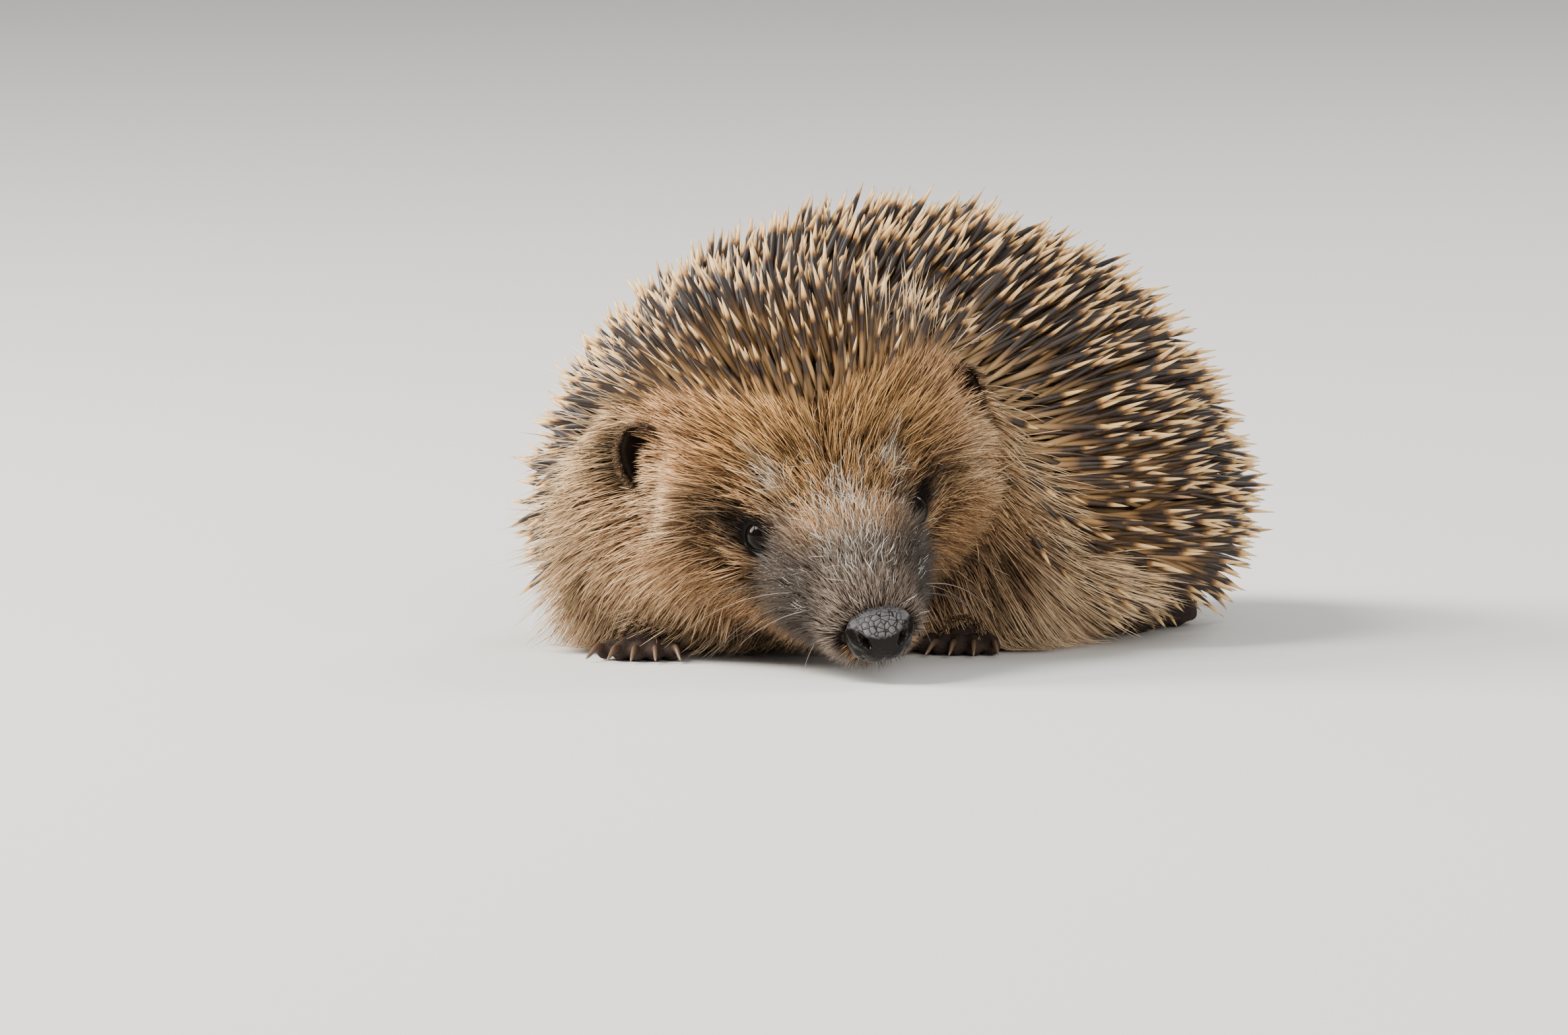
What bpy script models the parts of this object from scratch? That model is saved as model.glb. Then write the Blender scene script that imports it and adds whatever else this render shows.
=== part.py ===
"""A European hedgehog at life size, standing low on its four feet.

The trunk runs along Y and faces -Y. The head is lowered, turned to the animal's left (+X)
and tilted a little to its right. Trunk, neck, head and lower jaw are one lofted form, parted
by thin cuts, that reaches out to the tips of the coat: the mantle of spines stands a step
proud of the fur on the face, throat, flanks and belly. The soles lie on the plane Z = 0.
"""

import math
from collections import namedtuple

import bmesh
import bpy
import numpy as np

# All lengths are in millimetres and all angles in degrees, unless a name says otherwise.
METRES = 0.001
GAP = 0.3                       # parting gap between neighbouring solids
RING_POINTS = 40                # points around the trunk, neck and head

# The head's own frame starts in the middle of the line between the two ear openings.
HEAD_PLACE = (13.0, -51.2, 41.3)
HEAD_TURN = 52.9                # to the animal's left of -Y
HEAD_NOD = 39.0                 # muzzle down
HEAD_TILT = 11.5                # left side up

# The mantle of spines
MANTLE_STEP = 3.0               # how far it stands proud of the fur beside it
MANTLE_BLEND = 9.0              # angle around the body over which the step rises
NO_MANTLE = 110.0               # an edge angle past the crown: fur all round

# Where the body is parted, as distances ahead of or behind a station
NAPE_CUT_BACK = 1.0
NECK_LENGTH = 10.5

# Head details, in the head's frame: ahead, to the left, above
EYE_PLACE = (23.8, 12.6, -1.8)
EYE_LOOK = (0.62, 0.66, 0.42)   # the way a socket opens
EYE_RADIUS = 2.9
SOCKET_RADIUS = 5.2
SOCKET_DEPTH = 3.0
EAR_PLACE = (1.7, 27.4, -1.2)
EAR_LOOK = (0.62, 0.60, 0.50)   # the way an ear opens
EAR_UPRIGHT = (-0.35, 0.30, 0.90)
EAR_RIM_OUT = 1.5               # how far the rim stands out of the fur
EAR_WIDTH = 11.0
EAR_HEIGHT = 14.0
EAR_DEPTH = 7.0
EAR_WALL = 1.3
EAR_POINTS = 14
NOSE_AHEAD = 46.9
NOSE_BELOW = 1.0                # the pad's middle below the head's axis
NOSE_LENGTH = 5.6
NOSE_HALF_WIDTH = 5.7
NOSE_HALF_HEIGHT = 4.9
NOSTRIL_SIDE = 4.6
NOSTRIL_LOOK = (0.45, 0.85, 0.0)
NOSTRIL_DEPTH = 1.8
NOSTRIL_RADIUS = 1.25
JAW_HINGE_AHEAD = 18.0
JAW_TIP_AHEAD = 40.5
JAW_HALF_WIDTH = 8.0
MOUTH_BELOW = 8.4               # the mouth line below the head's axis at the jaw's tip
MOUTH_RISE = 0.8                # how much it rises towards the cheek
JAW_DEPTH = 45.0                # the wedge that parts the jaw reaches past the throat

# Tail
TAIL_ROOT = (8.6, 62.6, 10.5)
TAIL_TURN = -16.0
TAIL_DROP = 14.0
TAIL_LENGTH = 17.0
TAIL_ROOT_RADIUS = 2.6
TAIL_TIP_RADIUS = 1.1

# Feet
FLOOR = 0.0
TOE_COUNT = 5
CLAW_RADIUS = 0.85
CLAW_CLEARANCE = 0.5            # claw tips ride just above the floor

Station = namedtuple(
    "Station",
    "place turn nod tilt half_width top bottom top_round bottom_round mantle_edge")

# From the rump to the shoulders and nape. The mantle's edge is an angle above (+) or below (-)
# the widest line of the body.
BODY = [
    Station((9.5, 71.2, 18.5), -20, 0, 0, 2.0, 1.5, 2.5, 2.0, 2.0, -45),
    Station((9.1, 70.0, 18.6), -20, 0, 0, 11.5, 9.0, 8.5, 2.0, 2.2, -45),
    Station((8.0, 66.2, 19.0), -19, 0, 0, 20.5, 17.5, 13.0, 2.0, 2.6, -44),
    Station((6.4, 58.6, 19.5), -16, 0, 0, 31.5, 27.5, 15.6, 2.0, 2.9, -42),
    Station((4.1, 44.2, 20.0), -12, 0, 0, 42.5, 37.5, 16.0, 2.0, 3.0, -38),
    Station((0.7, 18.9, 20.0), -4, 0, 0, 49.5, 49.0, 16.0, 2.0, 3.2, -32),
    Station((-0.3, -4.6, 20.0), 10, 0, 0, 50.0, 51.5, 16.0, 2.0, 3.2, -25),
    Station((0.1, -24.4, 20.0), 26, 2, 0, 48.7, 48.0, 16.0, 2.05, 3.2, -6),
    Station((2.8, -36.4, 21.0), 37, 7, 2, 46.0, 42.5, 16.8, 2.05, 3.0, 12),
    Station((6.9, -44.6, 26.6), 42, 18, 6, 39.5, 35.5, 22.5, 2.1, 2.8, 38),
]

# On the head: ahead, above, less turn, less nod, less tilt, half width, top, bottom,
# roundness of top and bottom, and the mantle's edge.
HEAD = [
    (10.0, -6.0, 2.0, 8.0, 1.0, 31.0, 21.0, 30.0, 2.1, 2.6, 100),
    (21.0, -3.5, 0.0, 2.0, 0.0, 19.0, 13.0, 27.5, 2.0, 2.8, NO_MANTLE),
    (28.0, -3.0, 0.0, 0.0, 0.0, 13.8, 10.0, 24.0, 2.0, 3.0, NO_MANTLE),
    (34.0, -2.5, 0.0, 0.0, 0.0, 11.4, 8.0, 19.8, 2.0, 3.0, NO_MANTLE),
    (41.0, -2.0, 0.0, 0.0, 0.0, 8.8, 6.4, 14.4, 2.0, 2.6, NO_MANTLE),
    (46.5, -1.0, 0.0, 0.0, 0.0, 5.8, 5.2, 8.5, 2.0, 2.0, NO_MANTLE),
]

# Each limb: the middle of its sole, which way the toes point, where the leg's top lies, the
# leg's radii at top and ankle, the half length and half width of the sole, the foot's height,
# and the toes' length, radius, spread and claw length.
Limb = namedtuple(
    "Limb",
    "end side sole turn top top_radius ankle_radius half_length half_width height "
    "toe_length toe_radius spread claw")

LIMBS = [
    Limb("fore", "right", (-14.4, -56.2), 24, (-19.5, -44.4, 27.0), 8.5, 4.6,
         7.0, 5.2, 6.0, 5.4, 1.8, 46, 4.4),
    Limb("fore", "left", (25.0, -18.4), 21, (21.5, -9.4, 27.0), 8.5, 4.6,
         7.0, 5.2, 6.0, 5.4, 1.8, 46, 4.4),
    Limb("hind", "right", (-22.5, 40.6), -1, (-23.0, 47.1, 27.0), 10.5, 4.8,
         12.0, 5.4, 6.8, 5.2, 1.8, 46, 6.0),
    Limb("hind", "left", (29.0, 32.6), -9, (27.0, 38.6, 27.0), 10.5, 4.8,
         12.0, 5.4, 6.8, 5.2, 1.8, 46, 6.0),
]


# ---------------------------------------------------------------- directions and the body loft

def bearing(turn, nod, tilt):
    """Forward, left and up for something that faces -Y, turned left, nodded and tilted."""
    h = math.radians(turn)
    p = math.radians(nod)
    r = math.radians(tilt)
    forward = np.array([math.cos(p) * math.sin(h), -math.cos(p) * math.cos(h), -math.sin(p)])
    level = np.array([math.cos(h), math.sin(h), 0.0])
    above = np.cross(forward, level)
    left = level * math.cos(r) + above * math.sin(r)
    up = above * math.cos(r) - level * math.sin(r)
    return forward, left, up


def on_head(ahead, left=0.0, above=0.0):
    """A place given in the head's own frame."""
    f, l, u = bearing(HEAD_TURN, HEAD_NOD, HEAD_TILT)
    return np.array(HEAD_PLACE) + f * ahead + l * left + u * above


def unit(way):
    """The same direction at length one."""
    return way / np.linalg.norm(way)


def head_way(way, sign):
    """A direction given in the head's frame, on its left side (sign 1) or right side (-1)."""
    f, l, u = bearing(HEAD_TURN, HEAD_NOD, HEAD_TILT)
    return unit(f * way[0] + l * sign * way[1] + u * way[2])


def head_station(ahead, above, less_turn, less_nod, less_tilt, *section):
    """One of the head's stations, its place turned into a place on the whole animal."""
    return Station(tuple(on_head(ahead, 0.0, above)), HEAD_TURN - less_turn,
                   HEAD_NOD - less_nod, HEAD_TILT - less_tilt, *section)


class Loft:
    """A smooth body through stations, each with a bearing and a rounded cross-section."""

    def __init__(self, stations):
        rows = []
        for s in stations:
            rows.append([*s.place, s.turn, s.nod, s.tilt, s.half_width, s.top, s.bottom,
                         s.top_round, s.bottom_round, s.mantle_edge])
        self.values = np.array(rows, dtype=float)
        steps = np.linalg.norm(np.diff(self.values[:, :3], axis=0), axis=1)
        self.along = np.concatenate([[0.0], np.cumsum(steps)])
        self.slopes = self.station_slopes()

    def station_slopes(self):
        """The rate of change of every value at each station, so that the curve never kinks.

        The sizes of the cross-section are also kept from swinging past their stations.
        """
        length = np.diff(self.along)[:, None]
        rise = np.diff(self.values, axis=0) / length
        inner = (length[1:] * rise[:-1] + length[:-1] * rise[1:]) / (length[1:] + length[:-1])
        steepest = 3.0 * np.minimum(np.abs(rise[:-1]), np.abs(rise[1:]))
        steepest = steepest * (rise[:-1] * rise[1:] > 0.0)
        inner[:, 6:] = np.clip(inner, -steepest, steepest)[:, 6:]
        return np.vstack([rise[:1], inner, rise[-1:]])

    def at(self, s):
        """All values at the distance s from the rump."""
        i = int(np.clip(np.searchsorted(self.along, s) - 1, 0, len(self.along) - 2))
        h = self.along[i + 1] - self.along[i]
        x = (s - self.along[i]) / h
        start = (2 * x**3 - 3 * x**2 + 1) * self.values[i]
        start = start + (x**3 - 2 * x**2 + x) * h * self.slopes[i]
        end = (3 * x**2 - 2 * x**3) * self.values[i + 1]
        end = end + (x**3 - x**2) * h * self.slopes[i + 1]
        return start + end

    def ring(self, s, ahead=0.0):
        """The points of the cross-section at s, moved ahead along the body by a small gap."""
        v = self.at(s)
        forward, left, up = bearing(*v[3:6])
        half_width, top, bottom, top_round, bottom_round, edge = v[6:12]
        angle = np.linspace(0.0, 2.0 * math.pi, RING_POINTS, endpoint=False)
        across = np.cos(angle)
        rise = np.sin(angle)
        step = MANTLE_STEP * mantle(np.degrees(np.arcsin(rise)), edge)
        power = 2.0 / np.where(rise >= 0.0, top_round, bottom_round)
        reach = np.where(rise >= 0.0, top, bottom) + step
        side = (half_width + step) * np.sign(across) * np.abs(across)**power
        high = reach * np.sign(rise) * np.abs(rise)**power
        middle = v[:3] + forward * ahead
        return middle + np.outer(side, left) + np.outer(high, up)

    def rings(self, start, end, count, ahead=0.0, crowding=1.0):
        """Rings from start to end, the first one moved ahead by the parting gap.

        A crowding above 1 sets them closer together near the start.
        """
        places = start + (end - start) * np.linspace(0.0, 1.0, count)**crowding
        first = [self.ring(start, ahead)]
        return first + [self.ring(s) for s in places[1:]]


def mantle(elevation, edge):
    """1 on the spines, 0 on the fur, with a short rise between them."""
    x = np.clip((elevation - edge) / MANTLE_BLEND + 0.5, 0.0, 1.0)
    return x * x * (3.0 - 2.0 * x)


# ---------------------------------------------------------------- making objects

def finish(name, colour, roughness):
    """A plain Principled material."""
    made = bpy.data.materials.new(name)
    made.use_nodes = True
    shader = made.node_tree.nodes["Principled BSDF"]
    shader.inputs["Base Color"].default_value = (*colour, 1.0)
    shader.inputs["Roughness"].default_value = roughness
    shader.inputs["Metallic"].default_value = 0.0
    return made


def add_object(name, points, faces, material=None):
    """An object from points in millimetres; without a material it is a hidden guide."""
    mesh = bpy.data.meshes.new(name)
    mesh.from_pydata([tuple(np.array(p) * METRES) for p in points], [], faces)
    shape = bmesh.new()
    shape.from_mesh(mesh)
    bmesh.ops.recalc_face_normals(shape, faces=shape.faces)
    shape.to_mesh(mesh)
    shape.free()
    mesh.shade_smooth()
    mesh.set_sharp_from_angle(angle=math.radians(40))
    made = bpy.data.objects.new(name, mesh)
    bpy.context.scene.collection.objects.link(made)
    if material:
        mesh.materials.append(material)
    else:
        made.hide_render = True
        made.display_type = "WIRE"
    return made


def tube(rings):
    """Points and faces of a closed tube through rings of equal count, with flat ends."""
    count = len(rings[0])
    points = np.concatenate(rings)
    faces = []
    for i in range(len(rings) - 1):
        for j in range(count):
            k = (j + 1) % count
            faces.append((i * count + j, i * count + k, (i + 1) * count + k, (i + 1) * count + j))
    last = (len(rings) - 1) * count
    faces.append(tuple(range(count)))
    faces.append(tuple(last + j for j in range(count)))
    return points, faces


def circle(middle, side, up, half_width, half_height, count):
    """A ring of points on an ellipse."""
    angle = np.linspace(0.0, 2.0 * math.pi, count, endpoint=False)
    wide = np.outer(np.cos(angle) * half_width, side)
    high = np.outer(np.sin(angle) * half_height, up)
    return np.array(middle) + wide + high


def ball(middle, axes, sizes, around, high):
    """Points and faces of an ellipsoid: near-closed rings along its first axis."""
    along, side, up = axes
    rings = []
    for t in np.linspace(0.0, math.pi, high + 1):
        spot = np.array(middle) - along * math.cos(t) * sizes[0]
        wide = max(math.sin(t), 0.03)
        rings.append(circle(spot, side, up, sizes[1] * wide, sizes[2] * wide, around))
    return tube(rings)


def box(low, high):
    """Points and faces of an upright box."""
    points = [(x, y, z) for z in (low[2], high[2]) for y in (low[1], high[1])
              for x in (low[0], high[0])]
    faces = [(0, 1, 3, 2), (4, 5, 7, 6), (0, 1, 5, 4), (2, 3, 7, 6), (0, 2, 6, 4), (1, 3, 7, 5)]
    return points, faces


def combine(target, tool, operation="DIFFERENCE"):
    """Cut the tool from the target, or join it on."""
    step = target.modifiers.new(operation.title() + "_" + tool.name, "BOOLEAN")
    step.operation = operation
    step.solver = "EXACT"
    step.object = tool


# ---------------------------------------------------------------- trunk, neck, head and jaw

def mouth_plane(ahead):
    """How far above the head's axis the mouth line lies at a place along the head."""
    back = (JAW_TIP_AHEAD - ahead) / (JAW_TIP_AHEAD - JAW_HINGE_AHEAD)
    return -MOUTH_BELOW + MOUTH_RISE * back


def jaw_prism(grow):
    """A wedge with a rounded front under the mouth line, grown on every side."""
    length = JAW_TIP_AHEAD - JAW_HINGE_AHEAD + grow
    half_width = JAW_HALF_WIDTH + grow
    outline = []
    for turn in np.radians(np.linspace(-90.0, 90.0, 9)):
        outline.append((JAW_HINGE_AHEAD + length * math.cos(turn), half_width * math.sin(turn)))
    outline.append((JAW_HINGE_AHEAD - grow, half_width * 0.97))
    outline.append((JAW_HINGE_AHEAD - grow, -half_width * 0.97))
    upper = [on_head(ahead, side, mouth_plane(ahead) + grow) for ahead, side in outline]
    lower = [on_head(ahead, side, -JAW_DEPTH) for ahead, side in outline]
    return tube([np.array(upper), np.array(lower)])


def build_body(fur, spines):
    """Trunk, neck, head and lower jaw from one loft."""
    loft = Loft(BODY + [head_station(*row) for row in HEAD])
    nape_cut = loft.along[len(BODY) - 2] - NAPE_CUT_BACK
    ear_cut = nape_cut + NECK_LENGTH
    trunk_rings = loft.rings(loft.along[0], nape_cut, 17, crowding=1.6)
    trunk = add_object("trunk", *tube(trunk_rings), spines)
    neck = add_object("neck", *tube(loft.rings(nape_cut, ear_cut, 3, GAP)), spines)
    head_rings = loft.rings(ear_cut, loft.along[-1], 15, GAP)
    head = add_object("head", *tube(head_rings), fur)
    jaw = add_object("jaw", *tube(head_rings), fur)
    combine(jaw, add_object("jaw_wedge", *jaw_prism(0.0)), "INTERSECT")
    combine(head, add_object("jaw_room", *jaw_prism(GAP)))
    return trunk, neck, head, jaw


# ---------------------------------------------------------------- eyes, ears and nose

def build_eye(side, sign, head, material):
    """An eyeball in a hollow of the head's fur."""
    axes = bearing(HEAD_TURN, HEAD_NOD, HEAD_TILT)
    place = on_head(EYE_PLACE[0], sign * EYE_PLACE[1], EYE_PLACE[2])
    round_eye = (EYE_RADIUS, EYE_RADIUS, EYE_RADIUS)
    eye = add_object("eye_" + side, *ball(place, axes, round_eye, 12, 7), material)
    room = tuple(r + GAP for r in round_eye)
    combine(head, add_object("eye_room_" + side, *ball(place, axes, room, 12, 7)))
    outward = head_way(EYE_LOOK, sign)
    level = unit(np.cross(axes[2], outward))
    upright = np.cross(outward, level)
    rim = place + outward * EYE_RADIUS
    sizes = (SOCKET_DEPTH, SOCKET_RADIUS, SOCKET_RADIUS * 0.8)
    hollow = ball(rim, (outward, level, upright), sizes, 14, 6)
    combine(head, add_object("socket_" + side, *hollow))
    return eye


def ear_axes(sign):
    """The way an ear opens, its width and its height."""
    opens = head_way(EAR_LOOK, sign)
    wide = unit(np.cross(head_way(EAR_UPRIGHT, sign), opens))
    return opens, wide, np.cross(opens, wide)


def ear_cup(sign, grow, solid):
    """The rings of an ear: a rounded cup, or the filled room that it sits in."""
    opens, wide, high = ear_axes(sign)
    rim = on_head(EAR_PLACE[0], sign * EAR_PLACE[1], EAR_PLACE[2]) + opens * EAR_RIM_OUT
    rings = []
    for t in np.linspace(10.0, 90.0, 5):
        turn = math.radians(t)
        back = (EAR_DEPTH + grow) * math.cos(turn)
        across = (EAR_WIDTH / 2 + grow) * math.sin(turn)
        tall = (EAR_HEIGHT / 2 + grow) * math.sin(turn)
        rings.append(circle(rim - opens * back, wide, high, across, tall, EAR_POINTS))
    if solid:
        mouth = rim + opens * EAR_DEPTH * 1.3
        return rings + [circle(mouth, wide, high, across * 1.3, tall * 1.3, EAR_POINTS)]
    for t in np.linspace(84.0, 14.0, 4):
        turn = math.radians(t)
        back = (EAR_DEPTH - EAR_WALL) * math.cos(turn)
        across = (EAR_WIDTH / 2 - EAR_WALL) * math.sin(turn)
        tall = (EAR_HEIGHT / 2 - EAR_WALL) * math.sin(turn)
        rings.append(circle(rim - opens * back, wide, high, across, tall, EAR_POINTS))
    return rings


def build_ear(side, sign, carriers, material):
    """A short rounded ear, cupped towards the front, in its room in the fur."""
    ear = add_object("ear_" + side, *tube(ear_cup(sign, 0.0, False)), material)
    room = add_object("ear_room_" + side, *tube(ear_cup(sign, GAP, True)))
    for carrier in carriers:
        combine(carrier, room)
    return ear


def build_nose(material):
    """The bare nose pad: two swollen wings, a groove between them and a nostril in each."""
    f, l, u = bearing(HEAD_TURN, HEAD_NOD, HEAD_TILT)
    rings = []
    for t in np.linspace(0.0, 1.0, 8):
        swell = math.sqrt(max(1.0 - max(0.0, (t - 0.35) / 0.65)**2.4, 0.004))
        base = 0.86 + 0.14 * min(1.0, t / 0.35)
        middle = on_head(NOSE_AHEAD + NOSE_LENGTH * t, 0.0, -NOSE_BELOW)
        ring = circle(middle, l, u, NOSE_HALF_WIDTH * swell * base,
                      NOSE_HALF_HEIGHT * swell * base, 22)
        side = (ring - middle) @ l
        high = (ring - middle) @ u
        groove = 0.9 * np.exp(-(side / 0.9)**2) * np.where(high < 1.5, 1.0, 0.3) * min(1.0, 2 * t)
        scale = 1.0 - groove / (np.abs(side) + np.abs(high) + 1.0)
        rings.append(middle + (ring - middle) * scale[:, None])
    nose = add_object("nose", *tube(rings), material)
    for sign in (1.0, -1.0):
        place = on_head(NOSE_AHEAD + NOSE_LENGTH * 0.72, sign * NOSTRIL_SIDE,
                        -NOSE_BELOW - 0.6)
        out = head_way(NOSTRIL_LOOK, sign)
        sizes = (NOSTRIL_DEPTH, NOSTRIL_RADIUS, NOSTRIL_RADIUS * 0.75)
        pit = ball(place, (out, np.cross(u, out), u), sizes, 10, 6)
        name = "nostril_left" if sign > 0 else "nostril_right"
        combine(nose, add_object(name, *pit))
    return nose


# ---------------------------------------------------------------- tail

def tail_rings(grow):
    """A short tapered tail, or the room for it when grown."""
    forward, left, up = bearing(TAIL_TURN, -TAIL_DROP, 0)
    back = -forward
    rings = []
    for t in np.linspace(0.0, 1.0, 6):
        radius = TAIL_ROOT_RADIUS + (TAIL_TIP_RADIUS - TAIL_ROOT_RADIUS) * t + grow
        spot = np.array(TAIL_ROOT) + back * (TAIL_LENGTH * t - (grow if t == 0.0 else 0.0))
        rings.append(circle(spot, left, up, radius, radius, 12))
    return rings


def build_tail(trunk, material):
    """The tail, its root held in the rump."""
    tail = add_object("tail", *tube(tail_rings(0.0)), material)
    combine(trunk, add_object("tail_room", *tube(tail_rings(GAP))))
    return tail


# ---------------------------------------------------------------- legs, feet and claws

def leg_rings(limb, grow):
    """A tapering leg from inside the coat down to the ankle."""
    forward, left, up = bearing(limb.turn, 0, 0)
    ankle = np.array([*limb.sole, 4.6]) - forward * limb.half_length * 0.35
    top = np.array(limb.top)
    rings = []
    for t in np.linspace(0.0, 1.0, 3):
        radius = limb.top_radius + (limb.ankle_radius - limb.top_radius) * t**0.8 + grow
        end = grow if t == 0.0 else -grow if t == 1.0 else 0.0
        spot = top + (ankle - top) * t + np.array([0.0, 0.0, end])
        rings.append(circle(spot, left, forward, radius * 0.9, radius, 12))
    return rings


def toe_angles(limb):
    """Which way each toe points, from the inner side to the outer."""
    return np.linspace(-limb.spread / 2, limb.spread / 2, TOE_COUNT)


def toe_root(limb, angle):
    """Where a toe leaves the sole, and the way it points."""
    forward, left, up = bearing(limb.turn, 0, 0)
    turn = math.radians(angle)
    way = forward * math.cos(turn) + left * math.sin(turn)
    spread = math.sin(turn) / math.sin(math.radians(limb.spread / 2))
    root = np.array([*limb.sole, limb.toe_radius * 0.9])
    root = root + forward * (limb.half_length * (0.80 - 0.22 * spread**2))
    root = root + left * (limb.half_width - limb.toe_radius * 0.55) * spread
    return root, way


def toe(limb, angle):
    """A rounded toe, its knuckle a little higher than its tip."""
    root, way = toe_root(limb, angle)
    side = np.array([-way[1], way[0], 0.0])
    up = np.array([0.0, 0.0, 1.0])
    rings = []
    for t, size in ((-0.35, 0.75), (0.2, 1.0), (0.7, 0.9), (1.0, 0.5)):
        spot = root + way * limb.toe_length * t + up * 0.5 * math.sin(math.pi * min(t + 0.4, 1.0))
        radius = limb.toe_radius * size
        rings.append(circle(spot, side, up, radius, radius, 7))
    return tube(rings)


def palm(limb):
    """The sole's pad: a low rounded form, wider at the toes than at the heel."""
    forward, left, up = bearing(limb.turn, 0, 0)
    rings = []
    for level in (-2.0, 0.0, 2.0, 4.0, 5.4, 6.4):
        share = level / limb.height
        size = math.sqrt(max(1.0 - max(share, 0.0)**2.6, 0.02))
        middle = np.array([*limb.sole, min(level, limb.height)])
        ring = circle(middle, forward, left, limb.half_length * size, limb.half_width * size, 16)
        ahead = ((ring - middle) @ forward) / limb.half_length
        side = (ring - middle) @ left
        ring = ring + np.outer(side * 0.16 * ahead, left)
        rings.append(ring)
    return tube(rings)


def build_claw(limb, angle, name, material):
    """A curved claw in front of its toe, its tip just above the floor."""
    root, way = toe_root(limb, angle)
    side = np.array([-way[1], way[0], 0.0])
    up = np.array([0.0, 0.0, 1.0])
    start = root + way * (limb.toe_length + GAP)
    start[2] = limb.toe_radius * 0.9 + 0.3
    tip_radius = 0.18
    fall = start[2] - (CLAW_CLEARANCE + tip_radius)
    rings = []
    for t in np.linspace(0.0, 1.0, 4):
        spot = start + way * limb.claw * t - up * fall * t**1.8
        radius = CLAW_RADIUS + (tip_radius - CLAW_RADIUS) * t**1.3
        rings.append(circle(spot, side, up, radius * 0.8, radius, 6))
    return add_object(name, *tube(rings), material)


def foot_room(limb):
    """A low flat-topped room over a foot, so that the coat stays clear of it."""
    forward, left, up = bearing(limb.turn, 0, 0)
    reach = limb.half_length + (limb.toe_length + GAP) / 2 + 1.0
    middle = np.array([*limb.sole, 0.0]) + forward * (limb.toe_length + GAP) / 2
    low = circle(middle - up * 2.0, forward, left, reach, limb.half_width + 3.0, 20)
    high = circle(middle + up * (limb.height + 0.6), forward, left, reach,
                  limb.half_width + 3.0, 20)
    return tube([low, high])


def build_limb(limb, carriers, fur, skin, horn):
    """A leg, its foot with five toes, and its five claws."""
    label = limb.end + "leg_" + limb.side
    leg = add_object(label, *tube(leg_rings(limb, 0.0)), fur)
    leg_room = add_object(label + "_room", *tube(leg_rings(limb, GAP)))
    foot = add_object(limb.end + "foot_" + limb.side, *palm(limb), skin)
    for number, angle in enumerate(toe_angles(limb), 1):
        guide = add_object(f"{limb.end}toe_{limb.side}_{number}", *toe(limb, angle))
        combine(foot, guide, "UNION")
        build_claw(limb, angle, f"{limb.end}claw_{limb.side}_{number}", horn)
    combine(foot, leg_room)
    under = box((-200.0, -200.0, -20.0), (200.0, 200.0, FLOOR))
    combine(foot, add_object(label + "_floor", *under))
    room = add_object(limb.end + "foot_" + limb.side + "_room", *foot_room(limb))
    for carrier in carriers:
        combine(carrier, leg_room)
        combine(carrier, room)
    return leg, foot


# ---------------------------------------------------------------- the whole animal

def clear_scene():
    for old in list(bpy.data.objects):
        bpy.data.objects.remove(old, do_unlink=True)


def build_hedgehog():
    spines = finish("spines", (0.36, 0.28, 0.19), 0.55)
    fur = finish("fur", (0.40, 0.29, 0.19), 0.85)
    skin = finish("skin", (0.09, 0.07, 0.06), 0.6)
    pad = finish("nose_pad", (0.03, 0.03, 0.035), 0.3)
    glossy = finish("eyes", (0.008, 0.007, 0.007), 0.06)
    horn = finish("claws", (0.55, 0.45, 0.33), 0.4)
    trunk, neck, head, jaw = build_body(fur, spines)
    build_tail(trunk, fur)
    for side, sign in (("left", 1.0), ("right", -1.0)):
        build_eye(side, sign, head, glossy)
        build_ear(side, sign, (neck, head), skin)
    build_nose(pad)
    for limb in LIMBS:
        carriers = (trunk, neck, head) if limb.end == "fore" else (trunk,)
        build_limb(limb, carriers, fur, skin, horn)


clear_scene()
build_hedgehog()
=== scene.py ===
"""A hedgehog as a still, life-size model: one skin under spines and fur, with its eyes, nose
pad, whiskers and claws, round the solids of the frame. Lengths here are millimetres."""

import math

import bmesh
import bpy
import numpy as np
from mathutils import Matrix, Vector, kdtree


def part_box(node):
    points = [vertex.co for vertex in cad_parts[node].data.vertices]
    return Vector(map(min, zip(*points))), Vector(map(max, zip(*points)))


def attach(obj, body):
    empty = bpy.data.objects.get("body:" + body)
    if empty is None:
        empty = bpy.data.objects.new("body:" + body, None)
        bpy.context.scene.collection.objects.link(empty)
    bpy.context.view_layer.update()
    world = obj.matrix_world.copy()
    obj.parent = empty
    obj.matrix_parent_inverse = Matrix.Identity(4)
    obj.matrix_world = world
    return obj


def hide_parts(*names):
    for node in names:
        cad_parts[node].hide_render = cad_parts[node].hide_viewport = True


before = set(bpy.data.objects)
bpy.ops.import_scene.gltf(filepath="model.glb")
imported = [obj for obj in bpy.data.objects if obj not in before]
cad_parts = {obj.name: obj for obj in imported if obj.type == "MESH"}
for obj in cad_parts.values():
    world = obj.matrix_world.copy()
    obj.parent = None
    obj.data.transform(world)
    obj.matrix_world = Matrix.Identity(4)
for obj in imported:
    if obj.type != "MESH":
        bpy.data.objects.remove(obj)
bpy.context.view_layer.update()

MM = 0.001
ROUND = 2.0 * math.pi
UP = np.array((0.0, 0.0, 1.0))
DOWN = np.array((0.0, 0.0, -1.0))
SIDES = {"left": 1.0, "right": -1.0}

# ---------------------------------------------------------------- the animal's own sizes

HEAD_PLACE = np.array((13.0, -51.2, 41.3))
HEAD_TURN = 52.9
HEAD_NOD = 39.0
HEAD_TILT = 11.5

EYE_PLACE = (23.8, 12.6, -1.8)
EYE_RADIUS = 2.9
EYE_SUNK = 0.3
EYE_LOOK = (0.62, 0.66, 0.42)
CORNEA = 0.16
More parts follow.
